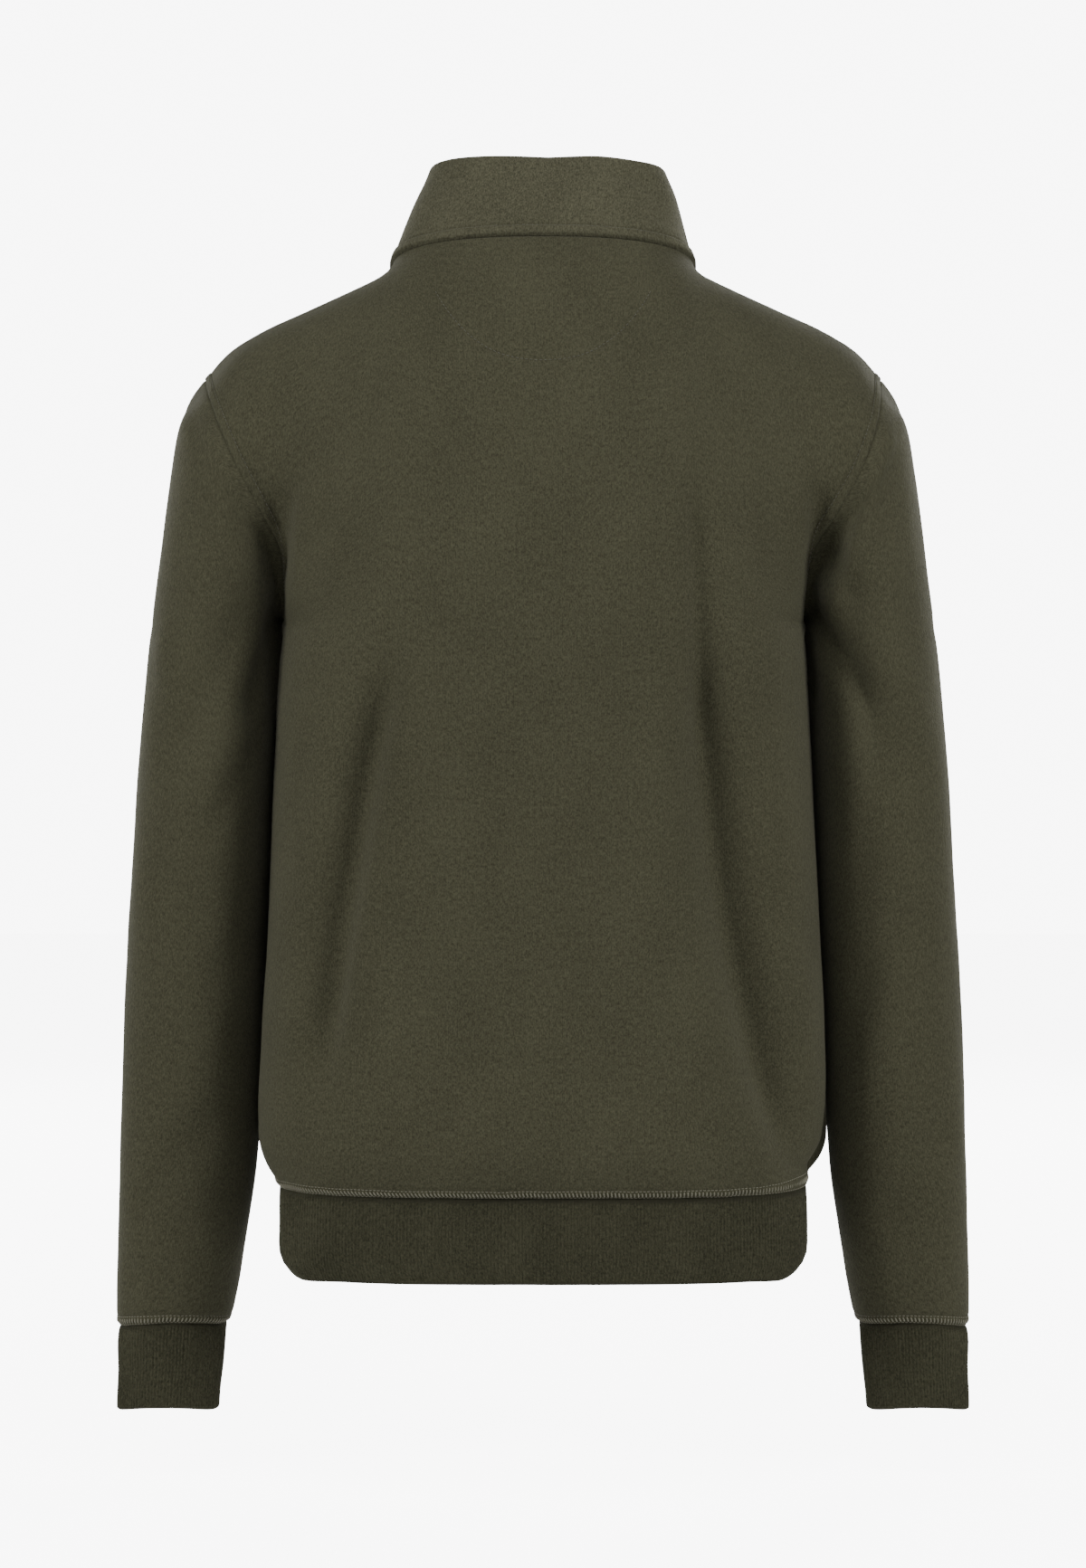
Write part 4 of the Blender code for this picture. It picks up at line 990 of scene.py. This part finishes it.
def make_sleeve(wearer_side):
    """A sleeve: its object, its outer side and the directions there."""
    right = wearer_side == "right"
    points, angles = sleeve_grid(wearer_side)
    around = np.degrees(angles)[None, :]
    top, bottom = from_ends(points)
    normals = normals_of(points, False, True)
    mirror = np.array((-1.0, 1.0, 1.0)) if right else np.ones(3)
    shifted = points * mirror
    calm = ease(top / 16) * ease(bottom / 12)
    inward = calm * (sleeve_fold_depth(wearer_side, around, points[..., 2])
                     + unevenness(shifted, *UNEVEN_BROAD) + unevenness(shifted, *UNEVEN_SMALL))
    inward = inward + pucker(shifted, top) * ease(top / 2)
    inward = inward + drawn_in(shifted, bottom, *DRAWN_AT_CUFF)
    points = points - normals * inward[..., None]
    underarm = np.abs(around - 180.0) * math.radians(1.0) * SLEEVE_RADIUS
    inner_half_turn = np.exp(-(underarm / 70.0) ** 2)
    depth = points[..., 1]
    height = points[..., 2]
    points[..., 0] -= armpit_close(height, underarm) * ease(top / 3)
    points[..., 0] -= (ARMPIT_FILL * ease(top / 3) * np.exp(-((height - UNDERARM_Z) / 5.0) ** 2)
                       * np.exp(-((depth + 2.0) / 12.0) ** 2))
    points[..., 0] -= ARMPIT_WAVE * armpit_wave(height, depth) * inner_half_turn * ease(top / 4)
    normals = normals_of(points, False, True)
    relief = -seam_dip(top) - seam_dip(bottom) - 0.5 * np.exp(-(underarm / 1.6) ** 2)
    relief = with_flat_seam(relief, bottom) - 0.5 * np.exp(-top / 3.0)
    relief = np.maximum(relief, 0.15 - CLOTH / 2)
    inner_half = CLOTH / 2 - 0.4 * (seam_dip(top) + seam_dip(bottom))
    outer = (points + normals * (CLOTH / 2 + relief)[..., None]) * mirror
    inner = (points - normals * inner_half[..., None]) * mirror
    item = make_wall("sleeve_" + wearer_side + "_cloth", outer, inner, (olive, olive_inside),
                     flipped=right, closed=True)
    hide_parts("sleeve_" + wearer_side)
    return {"item": item, "outer": outer, "normals": normals * mirror}


def ribbed_band(name, node, rings, flipped):
    """A tube of rib knit from its rings, with its ribs as real ridges and a rolled lower edge."""
    perimeter = distances_along(np.concatenate([rings[0], rings[0][:1]]))[-1]
    ribs = round(perimeter / RIB_PITCH)
    shares = np.arange(ribs * COLUMNS_A_RIB) / (ribs * COLUMNS_A_RIB)
    even = np.array([at_shares(np.concatenate([one, one[:1]]), shares) for one in rings])
    knots = distances_along(even).mean(axis=1)
    points = smooth_curve(knots, even, np.linspace(0, knots[-1], 60))
    points = spread(points, NEAR_BAND, NEAR_BAND, 5.5)
    top, bottom = from_ends(points)
    normals = normals_of(points, flipped, True)
    inward = ease(top / 8) * sum(unevenness(points, *one) for one in RIB_UNEVEN)
    points = points - normals * inward[..., None]
    normals = normals_of(points, flipped, True)
    phase = (np.arange(points.shape[1]) % COLUMNS_A_RIB) / COLUMNS_A_RIB
    ridge = RIB_DEPTH * (0.5 + 0.5 * np.cos(2 * math.pi * phase))[None, :] - RIB_DEPTH / 2
    ridge = ridge * ease(top / 3) * ease((bottom + 1) / 3)
    thick = rounded_edge(bottom, RIB_CLOTH / 2)
    dip = seam_dip(top) * 1.2
    outer = points + normals * (np.maximum(RIB_CLOTH / 2 - dip, 0.1) * thick + ridge)[..., None]
    inner = points - normals * ((RIB_CLOTH / 2 - 0.3 * dip) * thick)[..., None]
    item = make_wall(name, outer, inner, (rib,), flipped=flipped, closed=True)
    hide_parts(node)
    return item


def hem_rings():
    """Rings of the hem band, from the lowest row of both panels down."""
    shares = np.linspace(0, 1, 121)
    rows = []
    for face in ("back", "front"):
        rows.append(both_sides(torso_half_row(HEM_Z, face, shares)))
    loop = np.concatenate([rows[0], rows[1][-2:0:-1]])
    rings = []
    beside = ease((np.abs(loop[:, 0]) - 125.0) / 50.0)
    for drop in HEM_DROPS:
        out = 1.0 + HEM_BULGE * math.sin(math.pi * drop / HEM_BAND_HEIGHT)
        low = max(0.0, 1.0 - (HEM_BAND_HEIGHT - drop) / HEM_CORNER[1]) ** 2.2
        one = loop * (out, out, 1.0)
        one[:, 0] -= np.sign(one[:, 0]) * HEM_CORNER[0] * low * beside
        one[:, 2] -= drop + HEM_SAG * (drop / HEM_BAND_HEIGHT) ** 2 * beside
        rings.append(one)
    return np.array(rings)


sleeves = {}
for wearer_side, mirror_side in (("left", 1.0), ("right", -1.0)):
    sleeves[wearer_side] = make_sleeve(wearer_side)
    turn = np.linspace(0, 2 * math.pi, 241)[:-1]
    cuff_rings = np.array([ring(*row, turn) for row in CUFF_RINGS]) * (mirror_side, 1.0, 1.0)
    ribbed_band("cuff_" + wearer_side + "_knit", "cuff_" + wearer_side,
                                     cuff_rings, wearer_side == "right")
hem = ribbed_band("hem_rib_knit", "hem_rib", hem_rings(), True)


# ---------------------------------------------------------------- collar
def collar_row(height):
    """A row of the collar, from the wearer's right front edge round the back to the left one."""
    shares = np.linspace(0, 1, 120)
    front_half = collar_half_ring("front", shares, height)
    back_half = collar_half_ring("back", shares, height)
    front_half = front_half[front_half[:, 0] > SLIT_HALF_WIDTH]
    edge = front_half[:1].copy()
    edge[0, 0] = SLIT_HALF_WIDTH
    fine = at_shares(np.concatenate([back_half, front_half[-2::-1], edge]),
                     np.linspace(0, 1, 220))
    row = both_sides(fine)
    from_start = distances_along(row)
    ends = np.minimum(from_start, from_start[-1] - from_start)
    row[:, 0] += COLLAR_LEAN * ease(height) * ease(ends / 25)
    corner = ease((-row[:, 0] - 30.0) / 38.0) * ease((row[:, 1] + 58.0) / 50.0)
    row[:, 2] -= COLLAR_RIGHT_DROP * height ** 2 * corner
    return row


def make_collar():
    """The stand collar, in double cloth."""
    grid = np.array([collar_row(height) for height in np.linspace(0, 1, 50)])
    grid = spread(grid, NEAR_COLLAR, NEAR_EDGE[:6] + (4.0, 6.5), COLLAR_STEP)
    grid = across(spread(across(grid), NEAR_EDGE, NEAR_EDGE, COLLAR_STEP))
    _, ends = from_sides(grid)
    bottom, top = from_ends(grid)
    normals = normals_of(grid, False, False)
    calm = ease(bottom / 12) * ease((ends - 12) / 15) * (0.25 + 0.75 * ease(top / 16))
    inward = calm * sum(unevenness(grid, *one) for one in COLLAR_UNEVEN)
    for x_top, z_top, x_end, z_end, width, deep in COLLAR_FOLDS:
        from_line, place = line_distance(grid[..., 0], grid[..., 2], x_top, z_top, x_end, z_end,
                                         0.0)
        inward = inward + calm * (grid[..., 1] > -20.0) * trough(from_line, place, width, deep)
    inward = inward + ease(bottom / 2) * pucker(grid, np.abs(bottom - COLLAR_STITCH))
    points = grid - normals * inward[..., None]
    normals = normals_of(points, False, False)
    thick = rounded_edge(top, COLLAR_CLOTH / 2) * rounded_edge(ends, COLLAR_CLOTH / 2)
    welt = COLLAR_WELT * ease(bottom / 1.4) * ease((COLLAR_STITCH + 0.8 - bottom) / 1.5)
    relief = welt - 2 * seam_dip(bottom) - groove(bottom, COLLAR_STITCH) * 2.0
    relief -= groove(ends, SLIT_STITCH)
    relief = np.maximum(relief, 0.15 - COLLAR_CLOTH / 2)
    outer = points + normals * ((COLLAR_CLOTH / 2 + relief) * thick)[..., None]
    inner = points - normals * ((COLLAR_CLOTH / 2 - 0.6 * seam_dip(bottom)) * thick)[..., None]
    item = make_wall("collar_cloth", outer, inner, (painted_light_collar_olive,))
    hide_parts("collar")
    return {"item": item, "outer": outer, "inner": inner, "normals": normals}


collar = make_collar()


# ---------------------------------------------------------------- patch and zip tapes
def surface_of(points):
    """A tree of one side of a cloth, to lay other pieces on."""
    rows, columns = points.shape[:2]
    faces = [(row * columns + place, row * columns + place + 1,
              (row + 1) * columns + place + 1, (row + 1) * columns + place)
             for row in range(rows - 1) for place in range(columns - 1)]
    return BVHTree.FromPolygons(points.reshape(-1, 3).tolist(), faces)


def laid_on(tree, points, lift):
    """Points moved to a surface, and its directions there, away from the garment's middle."""
    places, directions = [], []
    for point in points.reshape(-1, 3):
        place, direction, _, _ = tree.find_nearest(Vector(point))
        if direction.dot(Vector((place.x, place.y, 0.0))) < 0:
            direction = -direction
        places.append(place + direction * lift)
        directions.append(direction)
    return np.array(places).reshape(points.shape), np.array(directions).reshape(points.shape)


def patch_row(step, shares):
    """A row of the half-moon patch, on the back's middle: step 0 is its lower edge."""
    outward = np.abs(shares) / PATCH_HALF_SHARE
    rises = PATCH_TOP_RISE - PATCH_DROP_RISE * np.sqrt(1 - 0.8 * outward ** 3) * (1 - step)
    row = [rising_row("back", np.array([abs(share)]), rise)[0] * (1.0 if share >= 0 else -1.0, 1, 1)
           for share, rise in zip(shares, rises)]
    return np.array(row)


def make_patch():
    """The half-moon patch inside the back neck."""
    shares = np.linspace(-PATCH_HALF_SHARE, PATCH_HALF_SHARE, 57)
    grid = np.array([patch_row(step, shares) for step in np.linspace(0, 1, 26)])
    points, normals = laid_on(surface_of(back["inner"]), grid, -LAID_GAP - PATCH_CLOTH / 2)
    edge = np.minimum(np.minimum(*from_ends(points)), from_sides(points)[1])
    half = (PATCH_CLOTH / 2 * rounded_edge(edge, PATCH_CLOTH))[..., None]
    item = make_wall("neck_patch_cloth", points + normals * half, points - normals * half,
                     (olive_inside,))
    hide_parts("neck_patch")
    return item


def zip_side(sign):
    """The inner side of the cloth beside the zip, from below the slit's end to the collar's top."""
    mirror = np.array((sign, 1.0, 1.0))
    rows = []
    start = int(np.argmin(np.abs(front["outer"][:, front["middle"], 2]
                                 - (UNDERARM_Z - TAPE_BELOW_SLIT))))
    for piece, first, last in ((front, start, -4), (collar, 3, -6)):
        inner = piece["inner"][first:last] * mirror
        normals = piece["normals"][first:last] * mirror
        if piece is front:
            keep = inner[0, :, 0] > 0
            inner, normals = inner[:, keep], normals[:, keep]
        else:
            keep = slice(-44, None) if sign > 0 else slice(0, 44)
            inner, normals = inner[:, keep], normals[:, keep]
        for line, directions in zip(inner, normals):
            order = np.argsort(line[:, 0])
            place, direction = (points_at(TAPE_X[1:], line[order, 0], values[order])
                                for values in (line, directions))
            rows.append(place - direction * (LAID_GAP + TAPE_CLOTH / 2))
    strip = np.array(rows)
    share = (TAPE_X[0] - TAPE_X[1]) / (TAPE_X[2] - TAPE_X[1])
    inner_edge = strip[:, :1] + (strip[:, 1:2] - strip[:, :1]) * share
    strip = np.concatenate([inner_edge, strip], axis=1)
    strip = np.stack([at_shares(strip[:, place], np.linspace(0, 1, 110))
                      for place in range(strip.shape[1])], axis=1)
    padded = np.concatenate([strip[:1]] * 3 + [strip] + [strip[-1:]] * 3)
    smooth = np.mean([padded[shift:shift + len(strip)] for shift in range(7)], axis=0)
    smooth[:1], smooth[-1:] = strip[:1], strip[-1:]
    return smooth


def make_tape(side, sign):
    """One zip tape, and its points on the +X side."""
    points = zip_side(sign)
    normals = normals_of(points, True, False)
    half = normals * TAPE_CLOTH / 2
    mirror = (sign, 1.0, 1.0)
    item = make_wall("zip_tape_" + side + "_cloth", (points + half) * mirror,
                     (points - half) * mirror, (tape_cloth,), flipped=sign > 0)
    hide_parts("zip_tape_" + side)
    return item, points


patch = make_patch()
tape_left, tape_points = make_tape("left", 1.0)
tape_right, _ = make_tape("right", -1.0)


# ---------------------------------------------------------------- zip: teeth, slider and pull tab
def deselect():
    bpy.ops.object.select_all(action="DESELECT")


def tooth_form():
    """One tooth of the wearer's left side, in the zip's own directions: points and faces."""
    deselect()
    width, depth, height = TOOTH
    bpy.ops.mesh.primitive_cube_add(size=1.0, location=(0.0, 0.0, 0.0))
    tooth = bpy.context.object
    bpy.ops.object.mode_set(mode="EDIT")
    bpy.ops.transform.resize(value=(width, depth, height))
    bpy.ops.mesh.select_all(action="DESELECT")
    shape = bmesh.from_edit_mesh(tooth.data)
    for side_face in shape.faces:
        side_face.select = side_face.normal.x < -0.9
    bmesh.update_edit_mesh(tooth.data)
    bpy.ops.mesh.extrude_region_move(TRANSFORM_OT_translate={"value": (-TOOTH_HEAD, 0.0, 0.0)})
    bpy.ops.transform.resize(value=(1.0, 0.72, 0.8))
    bpy.ops.mesh.select_all(action="SELECT")
    bpy.ops.mesh.bevel(offset=0.14, segments=1, affect="EDGES")
    bpy.ops.object.mode_set(mode="OBJECT")
    points = np.array([tuple(vertex.co) for vertex in tooth.data.vertices])
    faces = [tuple(one.vertices) for one in tooth.data.polygons]
    bpy.data.objects.remove(tooth, do_unlink=True)
    return points + (width / 2 + 0.35, 0.0, 0.0), faces


def make_teeth(side, sign, line, shift):
    """The teeth of one side, copied up the zip."""
    points, faces = tooth_form()
    lengths = distances_along(line)
    first = TAPE_BELOW_SLIT + CHAIN_FROM_SLIT + shift
    at = np.arange(first, lengths[-1] - CHAIN_BELOW_TOP, TOOTH_PITCH)
    spots = points_at(at, lengths, line)
    up = points_at(at + 1.0, lengths, line) - points_at(at - 1.0, lengths, line)
    up /= np.linalg.norm(up, axis=1)[:, None]
    inward = np.cross(up, (1.0, 0.0, 0.0))
    one = points * (sign, 1.0, 1.0)
    vertices = (spots[:, None, :] + one[None, :, :1] * (1.0, 0.0, 0.0)
                + one[None, :, 1:2] * inward[:, None, :] + one[None, :, 2:] * up[:, None, :])
    every = [tuple(corner + number * len(one) for corner in face)
             for number in range(len(spots)) for face in faces]
    item = plain_mesh("zip_teeth_" + side, vertices.reshape(-1, 3), every, metal)
    return item


def softened_metal(node, name, body, width):
    """A hard zip part in its solid's shape, with its sharp edges rounded off."""
    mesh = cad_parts[node].data.copy()
    mesh.name = name
    item = new_object(name, mesh)
    deselect()
    item.select_set(True)
    bpy.context.view_layer.objects.active = item
    bpy.ops.object.mode_set(mode="EDIT")
    bpy.ops.mesh.select_all(action="SELECT")
    bpy.ops.mesh.remove_doubles(threshold=0.00001)
    bpy.ops.mesh.dissolve_limited(angle_limit=math.radians(2.0))
    bpy.ops.object.mode_set(mode="OBJECT")
    edge = item.modifiers.new("rounded_edges", "BEVEL")
    edge.width = width * MM
    edge.segments = BEVEL_SEGMENTS
    edge.limit_method = "ANGLE"
    edge.angle_limit = math.radians(35.0)
    bpy.ops.object.modifier_apply(modifier=edge.name)
    bpy.ops.object.shade_smooth_by_angle(angle=math.radians(40.0))
    mesh.materials.clear()
    mesh.materials.append(metal)
    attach(item, body)
    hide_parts(node)


zip_middle = tape_points[:, 0] * (0.0, 1.0, 1.0)
teeth_left = make_teeth("left", 1.0, zip_middle, 0.0)
teeth_right = make_teeth("right", -1.0, zip_middle, TOOTH_PITCH / 2)
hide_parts("zip_chain")
for node_name, piece_name, rides_on, edge_width in (
        ("zip_slider", "zip_slider_metal", "garment", 0.22),
        ("zip_pull_tab", "zip_pull_tab_metal", "pull_tab", 0.3),
        ("zip_bottom_stop", "zip_bottom_stop_metal", "garment", 0.35),
        ("zip_top_stop_left", "zip_top_stop_left_metal", "garment", 0.3),
        ("zip_top_stop_right", "zip_top_stop_right_metal", "garment", 0.3)):
    softened_metal(node_name, piece_name, rides_on, edge_width)


# ---------------------------------------------------------------- stitching
def panel_line(piece, row=None, place=None, first=0, last=None):
    """Part of one row or one column of a piece's outer side, with its directions."""
    take = (row, slice(first, last)) if row is not None else (slice(first, last), place)
    return piece["outer"][take], piece["normals"][take]


def closed_line(piece, row):
    """One whole row round a sleeve, with its directions."""
    points, directions = panel_line(piece, row=row)
    return np.concatenate([points, points[:1]]), np.concatenate([directions, directions[:1]])


def ladder(name, two_rows):
    """Threads that cross between the two rows of stitches above a band."""
    count = int(distances_along(two_rows[0][0])[-1] / BAR_PITCH)
    ends = []
    for line, shift in zip(two_rows, (0.0, 0.5)):
        lengths = distances_along(line[0])
        at = (np.arange(count) + 0.25 + shift * 0.5) * lengths[-1] / count
        ends.append(points_at(at, lengths, np.concatenate(line, axis=1)))
    lift = np.array((0.0, 0.42, 0.42, 0.0))[:, None]
    bars = []
    for low_end, high_end in zip(*ends):
        path = np.linspace(low_end, high_end, 4)
        bars.append((path[:, :3] + path[:, 3:] * lift, path[:, 3:]))
    length = HEM_STITCHES[1] - HEM_STITCHES[0]
    return stitch_row(name, bars, length * 0.98, 0.1, BAR_THICKNESS, light_thread)


ARMHOLE_COLUMN = NEAR_SEAM.index(ARMHOLE_STITCH)
COLLAR_ROW = NEAR_COLLAR.index(COLLAR_STITCH)
SLIT_COLUMN = NEAR_EDGE.index(SLIT_STITCH)
HEM_ROWS = [NEAR_HEM.index(distance) for distance in HEM_STITCHES]

rows_on = {"back": [], "front": []}
for piece in (back, front):
    face = "back" if piece is back else "front"
    lowest = int(np.argmax(piece["level"][:, 0] > 0.03))
    for place in (ARMHOLE_COLUMN, -1 - ARMHOLE_COLUMN):
        rows_on[face].append(panel_line(piece, place=place, first=lowest, last=-1))
slit_low = front["slit_row"] - 3
for place in (front["middle"] - 1 - SLIT_COLUMN, front["middle"] + SLIT_COLUMN):
    rows_on["front"].append(panel_line(front, place=place, first=slit_low, last=-1))
rows_on["front"].append(panel_line(front, row=slit_low, first=front["middle"] - 1 - SLIT_COLUMN,
                                   last=front["middle"] + SLIT_COLUMN + 1))
half_moon = patch_row(0.07, np.linspace(-0.96, 0.96, 61) * PATCH_HALF_SHARE)
rows_on["back"].append(laid_on(surface_of(back["outer"]), half_moon, 0.0))
stitches = {face: stitch_row(face + "_stitches", lines, *TOPSTITCH, thread)
            for face, lines in rows_on.items()}
stitches["collar"] = stitch_row(
    "collar_stitches",
    [panel_line(collar, row=COLLAR_ROW, first=2, last=-2),
     panel_line(collar, place=SLIT_COLUMN, first=COLLAR_ROW, last=-4),
     panel_line(collar, place=-1 - SLIT_COLUMN, first=COLLAR_ROW, last=-4)], *TOPSTITCH, thread)

for face, piece in (("back", back), ("front", front)):
    two = [panel_line(piece, row=row) for row in HEM_ROWS]
    stitches[face + "_hem"] = stitch_row(face + "_hem_stitches", two, *FLAT_STITCH, light_thread)
    stitches[face + "_ladder"] = ladder(face + "_hem_ladder", two)
for wearer_side, piece in sleeves.items():
    two = [closed_line(piece, -1 - row) for row in HEM_ROWS]
    stitches[wearer_side + "_cuff"] = stitch_row("sleeve_" + wearer_side + "_cuff_stitches", two,
                                                 *FLAT_STITCH, light_thread)
    stitches[wearer_side + "_ladder"] = ladder("sleeve_" + wearer_side + "_cuff_ladder", two)


# ---------------------------------------------------------------- floor, light and camera
def soft_light(name, location, size, watts):
    """A square light that faces the garment and isn't seen itself."""
    data = bpy.data.lights.new(name, "AREA")
    data.shape = "SQUARE"
    data.size = size
    data.energy = watts
    lamp = new_object(name, data)
    lamp.location = location
    direction = Vector(LIGHT_TARGET) - Vector(location)
    lamp.rotation_euler = direction.to_track_quat("-Z", "Y").to_euler()
    lamp.visible_camera = False


def pale_where_seen(tree, shader_input, lit, seen):
    """A strength that is higher where the surface itself is seen than where it only lights."""
    path = tree.nodes.new("ShaderNodeLightPath")
    mix = add_node(tree, "ShaderNodeMapRange", None, Value=path.outputs["Is Camera Ray"],
                   To_Min=lit, To_Max=seen)
    tree.links.new(mix.outputs[0], shader_input)


deselect()
bpy.ops.mesh.primitive_plane_add(size=16.0, location=(0.0, 0.0, FLOOR_Z))
floor = bpy.context.object
floor.name = "pale_floor"
pale, pale_tree, pale_shader = new_material("pale_floor", Roughness=0.9)
pale_shader.inputs["Base Color"].default_value = (0.8, 0.8, 0.8, 1.0)
pale_shader.inputs["Emission Color"].default_value = (1.0, 1.0, 1.0, 1.0)
pale_where_seen(pale_tree, pale_shader.inputs["Emission Strength"], 0.0, FLOOR_SEEN)
floor.data.materials.append(pale)

world = bpy.data.worlds.new("studio")
world.use_nodes = True
sky = world.node_tree.nodes["Background"]
sky.inputs["Color"].default_value = (1.0, 1.0, 1.0, 1.0)
pale_where_seen(world.node_tree, sky.inputs["Strength"], WORLD_LIT, WORLD_SEEN)
bpy.context.scene.world = world

for light in LIGHTS:
    soft_light(*light)

camera_data = bpy.data.cameras.new("camera")
camera_data.sensor_width = CAMERA_SENSOR
camera_data.lens = CAMERA_LENS
camera = new_object("camera", camera_data)
camera.location = CAMERA_PLACE
camera.rotation_euler = (math.radians(90.0), 0.0, math.radians(180.0))
bpy.context.scene.camera = camera
